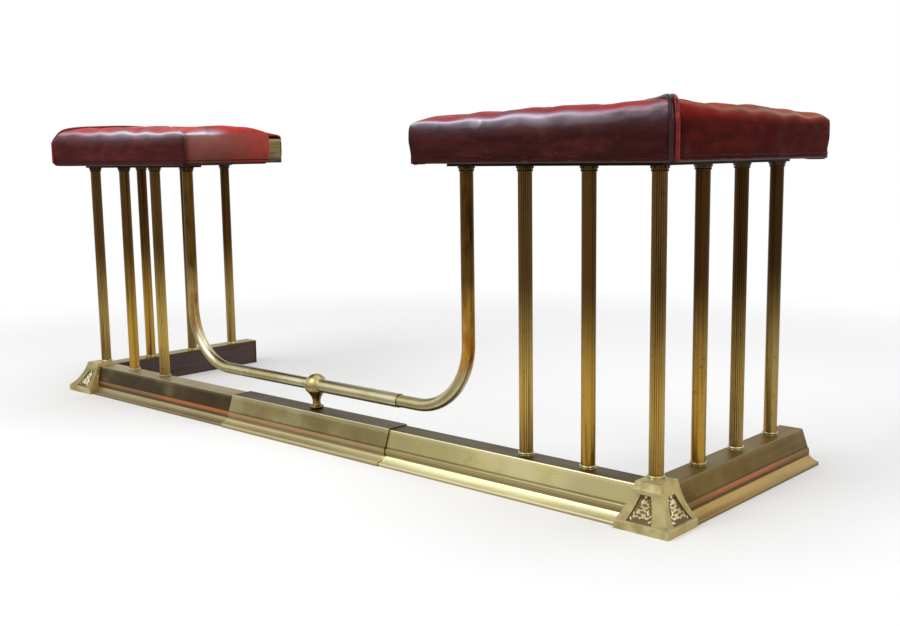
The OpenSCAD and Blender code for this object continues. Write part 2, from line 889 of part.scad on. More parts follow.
left() return_strap();  // left_return_strap
left() front_seat_frame();  // left_front_seat_frame
left() return_seat_frame();  // left_return_seat_frame
left() fireside_plate();  // left_fireside_plate
left() edge_binding();  // left_edge_binding
left() front_cushion();  // left_front_cushion
left() return_cushion();  // left_return_cushion
left() corner_welt();  // left_corner_welt
front_kerb();  // right_front_kerb
front_kerb_core();  // right_front_kerb_core
return_kerb();  // right_return_kerb
return_kerb_core();  // right_return_kerb_core
corner_block();  // right_corner_block
wood_screws();  // right_wood_screws
reeded_post(corner_place, block_h);  // right_corner_post
plain_post(front_places[0]);  // right_front_post_plain
reeded_post(front_places[1]);  // right_front_post_reeded
plain_post(return_places[0]);  // right_return_post_first
reeded_post(return_places[1]);  // right_return_post_middle
plain_post(return_places[2]);  // right_return_post_last
post_collars();  // right_post_collars
post_caps();  // right_post_caps
tie_rods();  // right_tie_rods
tie_nuts();  // right_tie_nuts
elbow_tube(right_rail_end);  // right_elbow_tube
elbow_stud();  // right_elbow_stud
front_strap();  // right_front_strap
return_strap();  // right_return_strap
front_seat_frame();  // right_front_seat_frame
return_seat_frame();  // right_return_seat_frame
fireside_plate();  // right_fireside_plate
edge_binding();  // right_edge_binding
front_cushion();  // right_front_cushion
return_cushion();  // right_return_cushion
corner_welt();  // right_corner_welt
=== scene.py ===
"""Looks of the extending brass club fender with two padded corner seats.

Lengths are in metres, in the fender's own frame: X along the hearth, Y away from
the camera side, Z up from the hearth.
"""

import math

import bmesh
import bpy
import numpy as np
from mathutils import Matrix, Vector
from mathutils.bvhtree import BVHTree


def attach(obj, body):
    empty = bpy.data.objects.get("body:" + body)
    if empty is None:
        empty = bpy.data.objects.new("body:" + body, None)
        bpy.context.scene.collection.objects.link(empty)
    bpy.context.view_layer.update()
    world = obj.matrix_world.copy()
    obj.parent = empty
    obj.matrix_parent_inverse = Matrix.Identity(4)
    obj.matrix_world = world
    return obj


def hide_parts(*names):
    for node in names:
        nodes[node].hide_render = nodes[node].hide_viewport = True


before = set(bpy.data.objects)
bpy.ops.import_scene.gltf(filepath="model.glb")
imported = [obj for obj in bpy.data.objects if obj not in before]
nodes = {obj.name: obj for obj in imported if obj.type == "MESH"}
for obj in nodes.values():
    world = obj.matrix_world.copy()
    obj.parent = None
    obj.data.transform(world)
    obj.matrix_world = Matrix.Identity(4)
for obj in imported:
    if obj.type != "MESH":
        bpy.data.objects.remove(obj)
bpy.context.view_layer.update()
bpy.ops.object.select_all(action="DESELECT")

SIDES = ("left", "right")
ARMS = ("front", "return")

# The fender's own measures, as its construction has them.
CORNER_X = 0.634
FRONT_Y = -0.15425
POST_PITCH = 0.102
POST_R = 0.0095
KERB_H = 0.050
COLLAR_R = 0.0113
COLLAR_H = 0.004
BOARD_Z = 0.442
CUSHION_Z = 0.451
PAD_FOOT = 0.4416
SEAT_OUT = 0.052
SEAT_W = 0.184
SEAT_CORNER = (CORNER_X + SEAT_OUT, FRONT_Y - SEAT_OUT)
ARM_LENGTH = {"front": 0.420, "return": 0.414}
BUTTON_PITCH = 0.078
BUTTON_ROWS = (SEAT_W / 3, SEAT_W * 2 / 3)
BUTTON_MARGIN = 0.040
WELT_R = 0.0033
BLOCK_H = 0.0555
BLOCK_BAND = 0.010
PANEL_DEPTH = 0.002
# For each face of a corner block: how far out its top and its foot lie, and the
# left and right edges of its sunk panel, at the panel's foot and at its top.
BLOCK_FACES = {
    "front": ((0.027, 0.055), (-0.0096, 0.0260), (-0.0025, 0.0125)),
    "return": ((0.024, 0.051), (-0.0045, 0.0380), (0.0030, 0.0181)),
}
PANEL_FOOT = 0.012
PANEL_TOP = 0.0411

# The ornament in the panels: its rows of berries and the small lumps between them.
BERRY_ROWS = (1, 2, 3, 3, 4, 5, 6)
BERRY_TOP = 0.0385
ROW_PITCH = 0.0036
BERRY_PITCH = 0.0039
BERRY_R = (0.0018, 0.0025)
LUMPS = 22
LUMP_R = (0.0009, 0.0014)
MOULD_VOXEL = 0.00034

# Heights between which one tone of a kerb's or a block's finish gives way to the next.
KERB_FOOT = (0.0022, 0.0034)
FLARE_CREST = (0.0040, 0.0085)
FLARE_TOP = (0.0120, 0.0132)
BEAD_FOOT = (0.0124, 0.0132)
BEAD_CREST = (0.0170, 0.0186)
BEAD_TOP = (0.0230, 0.0240)
QUIRK_FOOT = (0.0232, 0.0240)
QUIRK_TOP = (0.0252, 0.0264)
SHOULDER = (0.044, 0.047)
BLOCK_SLOPE = (0.0095, 0.0120)

# How fine a finish is along X, Y and Z, for lines that run along one of them.
ALONG_X = (5, 420, 420)
ALONG_Y = (420, 5, 420)
UPRIGHT = (420, 420, 5)

# The stuffing of the seats and the cords on them. A hem cord has its height and its radius.
STUFFING_STEPS = 20
MOST_SWELL = 0.006
CLOTH_VOXEL = 0.005
DRAWN_IN = 0.0015
FOLD_DEPTH = 0.0026
FOLD_WIDTH = 0.0032
DEEPEST_FOLD = 0.0034
PIT_DEPTH = 0.0055
PIT_WIDTH = 0.0085
RUFFLE = 0.00016
END_SAG = 0.0028
CORNER_TURN = 0.0042
CORNER_PUFF = 0.0074
END_PUFF = 0.009
TOP_FALL = 0.007
BUTTON_R = 0.0068
ABOVE_SEAT = 0.7
HEM_CORDS = ((0.4446, 0.0009), (0.4496, 0.0007))
HEM_REACH = 0.012
WELT_INSET = 0.0046


# ---- small tools for meshes ----


def only(thing):
    """Selects one object alone and makes it active."""
    bpy.ops.object.select_all(action="DESELECT")
    thing.select_set(True)
    bpy.context.view_layer.objects.active = thing


def settle(thing):
    """Leaves a piece at the origin, unturned and unscaled, with its place in its mesh."""
    only(thing)
    bpy.ops.object.transform_apply(location=True, rotation=True, scale=True)
    thing.select_set(False)
    return thing


def apply_modifiers(thing):
    """Works an object's modifiers into its mesh."""
    only(thing)
    for modifier in list(thing.modifiers):
        bpy.ops.object.modifier_apply(modifier=modifier.name)
    thing.select_set(False)


def joined(pieces, name):
    """One piece made of several."""
    bpy.ops.object.select_all(action="DESELECT")
    for piece in pieces:
        piece.select_set(True)
    bpy.context.view_layer.objects.active = pieces[0]
    if len(pieces) > 1:
        bpy.ops.object.join()
    pieces[0].name = name
    return settle(pieces[0])


def added(name, data):
    """A new object in the scene."""
    thing = bpy.data.objects.new(name, data)
    bpy.context.scene.collection.objects.link(thing)
    return thing


def edit_all(thing, operator, **settings):
    """Runs one operator on the whole of a mesh."""
    only(thing)
    bpy.ops.object.mode_set(mode="EDIT")
    bpy.ops.mesh.select_all(action="SELECT")
    operator(**settings)
    bpy.ops.object.mode_set(mode="OBJECT")
    thing.select_set(False)


def closed_copy(node, name):
    """A copy of a node's mesh with its loose triangles joined."""
    copy = added(name, nodes[node].data.copy())
    edit_all(copy, bpy.ops.mesh.remove_doubles, threshold=0.000002)
    return copy


def smooth(thing, angle=30):
    only(thing)
    bpy.ops.object.shade_smooth_by_angle(angle=math.radians(angle))
    thing.select_set(False)


def places(thing):
    """A mesh's points as an array."""
    flat = np.empty(len(thing.data.vertices) * 3)
    thing.data.vertices.foreach_get("co", flat)
    return flat.reshape(-1, 3)


def put(thing, points):
    thing.data.vertices.foreach_set("co", points.ravel())
    thing.data.update()


def normals(thing):
    flat = np.empty(len(thing.data.vertices) * 3)
    thing.data.vertex_normals.foreach_get("vector", flat)
    return flat.reshape(-1, 3)


def dress(thing, finish):
    thing.data.materials.clear()
    thing.data.materials.append(finish)


def note(thing, name, values):
    """Keeps a number for each point of a mesh, for its finish to read."""
    layer = thing.data.attributes.new(name, "FLOAT", "POINT")
    layer.data.foreach_set("value", np.asarray(values, dtype=np.float32))


def rising(value, start, width):
    """0 up to start, and 1 from a width beyond it."""
    return np.clip((value - start) / width, 0, 1)


def falling(value, end, width):
    """1 until a width before end, and 0 from there."""
    return np.clip((end - value) / width, 0, 1)


def bell(distance, width):
    return np.exp(-((distance / width) ** 2))


def mirrored(thing, name):
    """The same piece for the left half, with its own mesh."""
    copy = added(name, thing.data.copy())
    points = places(copy)
    points[:, 0] *= -1
    put(copy, points)
    copy.data.flip_normals()
    return copy


def cord_through(points, radius, name, resolution=4):
    """A round cord through a row of points, as a mesh with closed ends."""
    curve = bpy.data.curves.new(name, "CURVE")
    curve.dimensions = "3D"
    curve.bevel_depth = radius
    curve.bevel_resolution = resolution
    curve.use_fill_caps = True
    line = curve.splines.new("POLY")
    line.points.add(len(points) - 1)
    for spot, point in zip(line.points, points):
        spot.co = (*point, 1)
    only(added(name, curve))
    bpy.ops.object.convert(target="MESH")
    bpy.ops.object.shade_smooth()
    return settle(bpy.context.view_layer.objects.active)


def turned(profile, spot, name):
    """A ring turned round an upright axis from its section, given as radii and heights."""
    mesh = bpy.data.meshes.new(name)
    count = len(profile)
    mesh.from_pydata(
        [(radius, 0, height) for radius, height in profile],
        [(k, (k + 1) % count) for k in range(count)], [],
    )
    ring = added(name, mesh)
    turning = ring.modifiers.new("turning", "SCREW")
    turning.steps = turning.render_steps = 48
    turning.use_merge_vertices = True
    apply_modifiers(ring)
    ring.location = spot
    settle(ring)
    edit_all(ring, bpy.ops.mesh.normals_make_consistent, inside=False)
    return ring


# ---- finishes ----


def shade(red, green, blue):
    """A colour as a photograph gives it, made linear."""
    return tuple(
        c / 12.92 if c <= 0.04045 else ((c + 0.055) / 1.055) ** 2.4
        for c in (red / 255, green / 255, blue / 255)
    ) + (1,)


def shades(tones):
    return [shade(*tone) for tone in tones]


def scaled(colour, by):
    """A colour made darker or lighter."""
    return tuple(min(1, c * by) for c in colour[:3]) + (1,)


class Value:
    """An output of a node. Arithmetic on it adds Math nodes."""

    def __init__(self, finish, output):
        self.finish = finish
        self.output = output

    def _math(self, operation, *values):
        return self.finish.node("Math", dict(enumerate(values)), {"operation": operation})

    def __add__(self, other):
        return self._math("ADD", self, other)

    def __sub__(self, other):
        return self._math("SUBTRACT", self, other)

    def __rsub__(self, other):
        return self._math("SUBTRACT", other, self)

    def __mul__(self, other):
        return self._math("MULTIPLY", self, other)

    __radd__ = __add__


class Finish:
    """One material, built node by node."""

    def __init__(self, name, shift=(0, 0, 0)):
        self.shift = shift
        self.material = bpy.data.materials.new(name)
        self.material.use_nodes = True
        self.tree = self.material.node_tree
        self.tree.nodes.clear()
        self.spot = self.node("TexCoord", output="Object")

    def node(self, kind, inputs=None, settings=None, output=0):
        """Adds a node with its sockets and settings, and gives one of its outputs."""
        made = self.tree.nodes.new("ShaderNode" + kind)
        for name, setting in (settings or {}).items():
            if name == "stops":
                elements = made.color_ramp.elements
                while len(elements) < len(setting):
                    elements.new(1)
                for element, (position, grey) in zip(elements, setting):
                    element.position = position
                    element.color = (grey, grey, grey, 1)
            else:
                setattr(made, name, setting)
        for name, value in (inputs or {}).items():
            if isinstance(value, Value):
                self.tree.links.new(value.output, made.inputs[name])
            else:
                made.inputs[name].default_value = value
        return Value(self, made.outputs[output]) if len(made.outputs) else made

    def noise(self, scale, detail, roughness=0.5, stretch=(1, 1, 1)):
        """Noise from 0 to 1 of so many bumps to the metre, drawn out by stretch."""
        spot = {"Vector": self.spot, "Scale": stretch, "Location": self.shift}
        grain = {"Scale": scale, "Detail": detail, "Roughness": roughness}
        return self.node("TexNoise", {"Vector": self.node("Mapping", spot), **grain})

    def between(self, value, low, high):
        """0 up to low and 1 from high, with a soft step between them."""
        limits = {"Value": value, "From Min": low, "From Max": high}
        return self.node("MapRange", limits, {"interpolation_type": "SMOOTHSTEP"})

    def blend(self, share, first, second):
        """A colour that goes from the first to the second."""
        return self.node("Mix", {0: share, 6: first, 7: second}, {"data_type": "RGBA"}, 2)

    def layered(self, colour, *layers):
        """A colour with others laid over it, each given as its share and its tint."""
        for share, tint in layers:
            colour = self.blend(share, colour, tint)
        return colour

    def ramp(self, value, *stops):
        """A grey that goes through several, each at its own value."""
        return self.node("ValToRGB", {"Fac": value}, {"stops": stops})

    def noted(self, name):
        return self.node("Attribute", settings={"attribute_name": name}, output="Fac")

    def axis(self, name, of=None):
        return self.node("SeparateXYZ", {"Vector": of or self.spot}, output=name)

    def facing(self, name, normal="True Normal"):
        """The face's own direction along an axis, from -1 to 1."""
        return self.axis(name, self.node("NewGeometry", output=normal))

    def bump(self, height, distance, strength=1.0, on=None):
        inputs = {"Height": height, "Distance": distance, "Strength": strength}
        if on is not None:
            inputs["Normal"] = on
        return self.node("Bump", inputs)

    def surface(self, **inputs):
        """The shader itself. Underscores in a name stand for spaces."""
        inputs = {name.replace("_", " "): value for name, value in inputs.items()}
        self.node("OutputMaterial", {"Surface": self.node("BsdfPrincipled", inputs)})
        return self.material

    def metal(self, colour, roughness, relief, strength, depth=0.0002):
        return self.surface(
            Base_Color=colour,
            Metallic=1.0,
            Roughness=roughness,
            Normal=self.bump(relief, depth, strength),
        )


def drawn_brass(name, clean, tarnish, stretch, shift):
    """Old lacquered brass with the lines that drawing and rubbing leave along it."""
    f = Finish(name, shift)
    lines = f.noise(1, 4, 0.6, stretch)
    broad = f.noise(9, 4, 0.6)
    fine = f.noise(140, 2)
    aged = f.between(broad + lines * 0.7 - 0.35, 0.3, 0.78)
    colour = f.layered(
        clean,
        (aged, tarnish),
        (f.between(lines, 0.56, 0.72) * 0.35, scaled(clean, 1.7)),
        (f.between(fine, 0.66, 0.76) * 0.35, scaled(tarnish, 0.45)),
    )
    return f, colour, lines, aged, lines * 0.6 + fine * 0.4


def plain_brass(name, clean, tarnish, stretch, shift=(0, 0, 0), rough=0.34):
    f, colour, lines, aged, relief = drawn_brass(name, clean, tarnish, stretch, shift)
    roughness = aged * 0.14 + (lines * 0.1 + (rough - 0.05))
    return f.metal(colour, roughness, relief, 0.35)


def kerb_brass(name, face, flare, top, bead, stretch, shift, edge=1.0, ember=None, lit=None):
    """The kerb's finish: a dark top, a rubbed face, a bead with red in it and a pale flare.
    The tone of each face is painted reflection and painted shade as well as the brass's own,
    with a painted highlight along the flare and painted shade under the bead and in the quirk.

    The bead glows red between the two places of ember along the kerb, with its strength,
    and a painted pool of light lies on the face between those of lit, with the face darker outside
    them."""
    dull = scaled(face, 0.62)
    f, colour, lines, aged, relief = drawn_brass(name, face, dull, stretch, shift)
    height = f.axis("Z")
    along = f.axis("X" if stretch == ALONG_X else "Y")
    up = f.facing("Z")
    broad = f.noise(11, 3)
    wander = along + (broad - 0.5) * 0.1

    def reach(start, end, soft):
        """1 along the kerb from start to end, with soft ends."""
        return f.between(wander, start, start + soft) * (1 - f.between(wander, end - soft, end))

    def zone(foot, head):
        """1 between two heights, each with a soft step."""
        return f.between(height, *foot) * (1 - f.between(height, *head))

    colour = f.layered(
        colour,
        (f.between(broad, 0.50, 0.66) * 0.4, scaled(flare, 0.72)),
        ((1 - f.between(broad, 0.34, 0.50)) * 0.4, scaled(dull, 0.7)),
    )
    # A painted pool of light on the face between the two places of lit.
    if lit:
        colour = f.blend((1 - reach(*lit, 0.06)) * 0.62, colour, dull)
    glow = bead
    if ember:
        start, end, strength = ember
        glow = f.blend(reach(start, end, 0.12) * strength, bead, shade(190, 106, 62))
    # A painted highlight along the upper flare, just under the bead.
    flare_with_highlight = f.blend(f.between(height, *FLARE_CREST) * 0.9, flare, scaled(flare, 1.4))
    flare_with_highlight = f.blend(aged * 0.35, flare_with_highlight, scaled(flare, 0.6))
    high = f.between(height, *SHOULDER)
    flat_top = f.between(up, 0.85, 0.97) * high
    worn = f.between(f.noise(1, 4, 0.6, tuple(s * 0.5 for s in stretch)), 0.52, 0.68)
    arris = f.between(up, 0.25, 0.5) * (1 - f.between(up, 0.985, 0.998)) * high
    colour = f.layered(
        colour,
        (1 - f.between(height, *FLARE_TOP), flare_with_highlight),
        # Painted shade on the underside of the bead.
        (zone(BEAD_FOOT, BEAD_CREST) * 0.8, scaled(bead, 0.62)),
        (zone(BEAD_CREST, BEAD_TOP) * 0.9, glow),
        # A painted shadow line in the quirk above the bead.
        (zone(QUIRK_FOOT, QUIRK_TOP) * 0.55, shade(66, 50, 30)),
        ((1 - f.between(height, *KERB_FOOT)) * 0.6, shade(112, 92, 54)),
        (flat_top, f.blend(worn * 0.5, top, scaled(top, 1.5))),
        (arris * edge, shade(216, 206, 168)),
    )
    roughness = aged * 0.12 + (lines * 0.12 + 0.27) + flat_top * 0.12
    return f.metal(colour, roughness, relief, 0.3)


def post_brass(name, head, middle, foot, shift):
    """A post's finish: dark at its head as painted shade under the seat, amber streaks lower down
    and a tone of its own at its foot.
    """
    f = Finish(name, shift)
    height = f.axis("Z")
    streaks = f.noise(1, 4, 0.6, (230, 230, 5))
    long_streaks = f.noise(1, 3, 0.55, (90, 90, 1.6))
    cloud = f.noise(11, 4, 0.6, (1, 1, 0.6))
    fine = f.noise(160, 2)
    up = f.between(height + (cloud - 0.5) * 0.08, 0.125, 0.30)
    near_foot = 1 - f.between(height + (cloud - 0.5) * 0.06, 0.06, 0.13)
    amber = f.blend(up, shade(166, 122, 46), shade(92, 62, 24))
    colour = f.layered(
        middle,
        # Painted shade under the seat on the head.
        (up, head),
        (near_foot * 0.8, foot),
        (f.between(long_streaks, 0.52, 0.66) * 0.6, amber),
        (f.between(streaks, 0.54, 0.68) * 0.55, shade(46, 33, 18)),
        (f.between(fine, 0.64, 0.74) * 0.5, shade(50, 36, 20)),
    )
    roughness = streaks * 0.16 + (cloud * 0.12 + 0.16)
    return f.metal(colour, roughness, streaks * 0.6 + fine * 0.4, 0.25)


def painted_tube_reflection(f, worn):
    """A tube's painted reflection, by the way its smooth normal faces up or down: painted
    highlights along its upper and lower flanks, and painted shade along its sides, its top and its
    underside.
    """
    tone = f.ramp(
        f.facing("Z", "Normal") * 0.5 + 0.5,
        (0.08, 0.08), (0.16, 0.28), (0.23, 0.68), (0.31, 0.78), (0.39, 0.42), (0.46, 0.26),
        (0.54, 0.32), (0.62, 0.74), (0.69, 1.0), (0.77, 0.92), (0.85, 0.5), (0.94, 0.3),
    )
    return f.blend(tone, shade(92, 80, 44), worn)


def elbow_brass(name, bright, streaked, shift):
    """The elbow's finish: brown where it stands, amber below, and worn pale along its rail, with
    painted highlight and painted shade in bands round the tube.
    """
    f = Finish(name, shift)
    height = f.axis("Z")
    cloud = f.noise(13, 4, 0.6)
    streaks = f.noise(1, 4, 0.6, (60, 60, 12))
    fine = f.noise(160, 2)
    up = f.between(height + (cloud - 0.5) * 0.05, 0.195, 0.285)
    brown = f.blend(f.between(streaks, 0.42, 0.62), shade(84, 59, 23), shade(54, 34, 10))
    amber = f.blend(f.between(streaks, 0.40, 0.60), bright, streaked)
    worn = f.blend(f.between(cloud, 0.36, 0.66), shade(226, 222, 186), shade(186, 174, 126))
    # Bands of painted highlight and painted shade round the pale part of the tube.
    worn = painted_tube_reflection(f, worn)
    low = f.blend(f.between(height + (cloud - 0.5) * 0.03, 0.115, 0.175), worn, amber)
    colour = f.blend(up, low, brown)
    colour = f.blend(f.between(fine, 0.64, 0.74) * 0.35, colour, shade(62, 48, 28))
    roughness = cloud * 0.14 + (up * 0.06 + 0.2)
    return f.metal(colour, roughness, streaks * 0.5 + fine * 0.5, 0.2)


def rail_brass(name, clean, tarnish, shift):
    """The finish of the rail's outer tube and its ball, with painted highlight and painted shade
    in bands round them.
    """
    f, colour, lines, aged, relief = drawn_brass(name, clean, tarnish, (8, 300, 300), shift)
    roughness = aged * 0.12 + (lines * 0.1 + 0.2)
    return f.metal(painted_tube_reflection(f, colour), roughness, relief, 0.3)


def cast_brass(name, raised, sunk, shift, grain=0.0004, slope_shading=0.75):
    """Cast brass, rubbed where it stands out, dark in its panels, with painted shade on its slopes
    and on its faces turned along X.
    """
    f = Finish(name, shift)
    cloud = f.noise(34, 5, 0.62)
    pits = f.noise(420, 3, 0.6)
    sideways = f.facing("X")
    side_shade = f.between(sideways * sideways, 0.35, 0.8)
    height = f.axis("Z")
    slope = f.between(height, *BLOCK_SLOPE) * (1 - f.between(height, *SHOULDER))
    floor = f.noted("panel_floor")
    colour = f.layered(
        raised,
        (f.between(cloud, 0.42, 0.66), sunk),
        (f.between(pits, 0.6, 0.72) * 0.4, scaled(sunk, 0.5)),
        # Painted shade, yellower, on the faces turned along X.
        (side_shade * 0.45, shade(178, 146, 80)),
        # Painted shade on the slopes between the foot band and the top.
        (slope * (1 - side_shade) * slope_shading, shade(136, 126, 90)),
        (floor * 0.9, shade(116, 92, 62)),
    )
    return f.metal(colour, cloud * 0.2 + 0.5 + floor * 0.1, pits * 0.5 + cloud * 0.5, 0.35, grain)


def old_leather(name, crown, face, painted_sheen, shine, gloss, shift):
    """Worn oxblood leather: nearly black on its faces, red above, partly as painted light from
    above, and polished on the roll, where a sheen is painted too.
    """
    f = Finish(name, shift)
    crest, roll, gleam = (f.noted(name) for name in ("crown", "roll", "gleam"))
    flush, fold, end = (f.noted(name) for name in ("flush", "fold", "end"))
    cloud = f.noise(22, 4, 0.6)
    smear = f.noise(1, 4, 0.6, (14, 14, 70))
    cells = f.node(
        "TexVoronoi", {"Vector": f.spot, "Scale": 620.0}, {"feature": "DISTANCE_TO_EDGE"}
    )
    pores = f.between(cells, 0.02, 0.22)
    creases = f.noise(210, 4, 0.62)
    end_mottle = f.between(f.noise(9, 3), 0.36, 0.62)
    side = f.layered(
        face,
        (f.between(smear, 0.42, 0.66), scaled(face, 1.9)),
        (f.between(cloud, 0.58, 0.72) * 0.4, shade(88, 44, 32)),
        # The free end is pinker and lighter, mottled.
        (end * 0.9, f.blend(end_mottle, shade(148, 78, 68), shade(142, 98, 86))),
    )
    colour = f.layered(
        side,
        # The red crown, partly the leather's wear and partly painted light from above.
        (crest, f.blend(f.between(cloud, 0.42, 0.66), crown, scaled(crown, 0.6))),
        (flush * 0.75, shade(138, 18, 14)),
        # A painted sheen and a painted highlight on the roll.
        (roll * (f.between(cloud, 0.30, 0.62) * 0.3 + 0.55), scaled(painted_sheen, 0.42)),
        (gleam * (f.between(cloud, 0.25, 0.60) * 0.3 + 0.65), painted_sheen),
        # Darker in the folds and the buttons' pits, with painted shade along the seam at the free
        # end and along the foot.
        (fold * 0.85, shade(34, 12, 12)),
        ((1 - pores) * 0.3, shade(30, 10, 10)),
    )
    polish = roll * 0.6 + gleam * 0.4
    return f.surface(
        Base_Color=colour,
        Roughness=creases * 0.2 + 0.35,
        Specular_IOR_Level=gloss,
        Coat_Weight=polish * (f.between(cloud, 0.25, 0.6) * 0.3 + 0.7) * shine + 0.01,
        Coat_Roughness=0.16,
        Coat_IOR=2.0,
        Normal=f.bump(creases, 0.0010, 0.2, f.bump(pores, 0.0003, 0.3)),
    )


def welt_leather(name, colour, rubbed_colour, coat=0.25, shift=(0, 0, 0)):
    """The leather of the cords: lighter in rubbed patches, and darker on the inner one."""
    f = Finish(name, shift)
    twist = f.noise(260, 3, 0.6, (1, 1, 0.4))
    rubbed = f.between(f.noise(60, 3, 0.6), 0.5, 0.68)
    tint = f.blend(rubbed * 0.7, colour, rubbed_colour)
    # Painted shade on the cord marked shaded.
    tint = f.blend(f.noted("shaded") * 0.9, tint, shade(22, 10, 14))
    return f.surface(
        Base_Color=tint,
        Roughness=0.38 + twist * 0.15,
        Specular_IOR_Level=0.03,
        Coat_Weight=coat,
        Coat_Roughness=0.1,
        Coat_IOR=1.6,
        Normal=f.bump(twist, 0.0004, 0.4),
    )


def old_timber(name, stretch):
    """Stained softwood with its grain along the piece."""
    f = Finish(name)
    light, dark = shade(66, 44, 39), shade(50, 33, 29)
    grain = f.noise(1, 5, 0.65, stretch)
    cloud = f.noise(16, 3, 0.6)
    colour = f.blend(f.between(grain, 0.4, 0.62), light, dark)
    colour = f.blend(f.between(cloud, 0.5, 0.7) * 0.5, colour, scaled(dark, 0.5))
    return f.surface(
        Base_Color=colour,
        Roughness=0.5 + cloud * 0.25,
        Normal=f.bump(grain, 0.0006, 0.5),
    )


def dark_iron():
    f = Finish("iron")
    mill = f.noise(300, 4)
    rust = f.between(f.noise(40, 4), 0.55, 0.7)
    return f.surface(
        Base_Color=f.blend(rust * 0.6, shade(70, 66, 62), shade(84, 54, 38)),
        Metallic=1 - rust * 0.6,
        Roughness=0.45 + mill * 0.2,
        Normal=f.bump(mill, 0.0003, 0.4),
    )


# ---- brass, timber and iron pieces ----


def carry(node, body, finish, angle=30):
    """Shows a node's own form, joined and smoothed, in a finish."""
    piece = closed_copy(node, node + "_shown")
    smooth(piece, angle)
    dress(piece, finish)
    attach(piece, body)
    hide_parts(node)
    return piece


def post_spots():
    """Where the six posts of the right half stand, and the height of each one's foot."""
    spots = [(CORNER_X, FRONT_Y, BLOCK_H)]
    spots += [(CORNER_X - k * POST_PITCH, FRONT_Y, KERB_H) for k in (1, 2)]
    spots += [(CORNER_X, FRONT_Y + k * POST_PITCH, KERB_H) for k in (1, 2, 3)]
    return spots


def collar_rings(side, body, finish):
    """Turned collars at the feet of the posts, each with a bead and a thin flange below it."""
    inner, bead = POST_R + 0.00002, COLLAR_H * 0.32
    section = [(inner, 0), (COLLAR_R, 0), (COLLAR_R, 0.0004), (COLLAR_R - 0.0006, 0.0007)]
    section += [
        (COLLAR_R - bead + bead * math.cos(t), COLLAR_H - bead + bead * math.sin(t))
        for t in np.linspace(-0.9, math.pi / 2, 8)
    ]
    section.append((inner, COLLAR_H))
    rings = [
        turned(section, (x if side == "right" else -x, y, z), "collar") for x, y, z in post_spots()
    ]
    collars = joined(rings, side + "_collars")
    smooth(collars, 50)
    dress(collars, finish)
    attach(collars, body)
    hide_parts(side + "_post_collars")


def note_panel_floor(block):
    """Marks the floors of a corner block's sunk panels, for its finish."""
    points = places(block)
    x, y, up = points.T
    out_x, out_y = np.abs(x) - CORNER_X, FRONT_Y - y
    inside = (up > PANEL_FOOT - 0.001) & (up < PANEL_TOP + 0.001)
    floor = np.zeros(len(points), dtype=bool)
    for face, across, out in (("front", out_x, out_y), ("return", out_y, out_x)):
        middle, half = panel_span(up, face)
        floor |= (
            inside & (np.abs(across - middle) < half + 0.001)
            & (np.abs(out - flare_out(up, face)) < 0.0004)
        )
    note(block, "panel_floor", floor.astype(float))


# The face, the flare, the top and the bead of each kerb. One brass is given its own tone on each
# face, as painted reflection and painted shade.
KERB_TONES = {
    "left": ((70, 57, 32), (150, 138, 104), (166, 152, 114), (134, 108, 72)),
    "right": ((184, 172, 118), (230, 220, 176), (76, 66, 32), (152, 137, 96)),
    "middle": ((137, 123, 82), (190, 180, 136), (72, 62, 30), (162, 142, 104)),
}
# The same for each return kerb, its tones also painted reflection and painted shade.
RETURN_TONES = {
    "left": ((90, 72, 40), (140, 118, 74), (150, 136, 98), (126, 98, 62)),
    "right": ((106, 82, 28), (156, 130, 74), (112, 92, 42), (130, 96, 56)),
}
# How bright each front kerb's arris is, where its bead is reddened, and where a painted pool of
# light lies on its face.
KERB_WEAR_AND_LIGHT = {
    "left": {"edge": 0.3, "ember": (-0.48, 0.0, 0.7)},
    "right": {"edge": 0.85, "lit": (0.30, 0.56)},
}
# The head, the middle and the foot of each post, the dark head being painted shade under the seat.
POST_TONES = {
    "corner_post": ((88, 64, 32), (166, 141, 78), (136, 112, 62)),
    "front_post_plain": ((76, 52, 24), (164, 130, 54), (168, 128, 52)),
    "front_post_reeded": ((86, 64, 31), (184, 155, 82), (140, 112, 62)),
    "return_post_first": ((62, 39, 16), (162, 129, 57), (166, 127, 51)),
    "return_post_middle": ((58, 38, 15), (146, 120, 64), (150, 128, 82)),
    "return_post_last": ((56, 35, 15), (148, 126, 73), (150, 122, 70)),
}
ELBOW_TONES = {
    "left": ((168, 138, 84), (112, 84, 44)),
    "right": ((188, 142, 60), (136, 90, 30)),
}


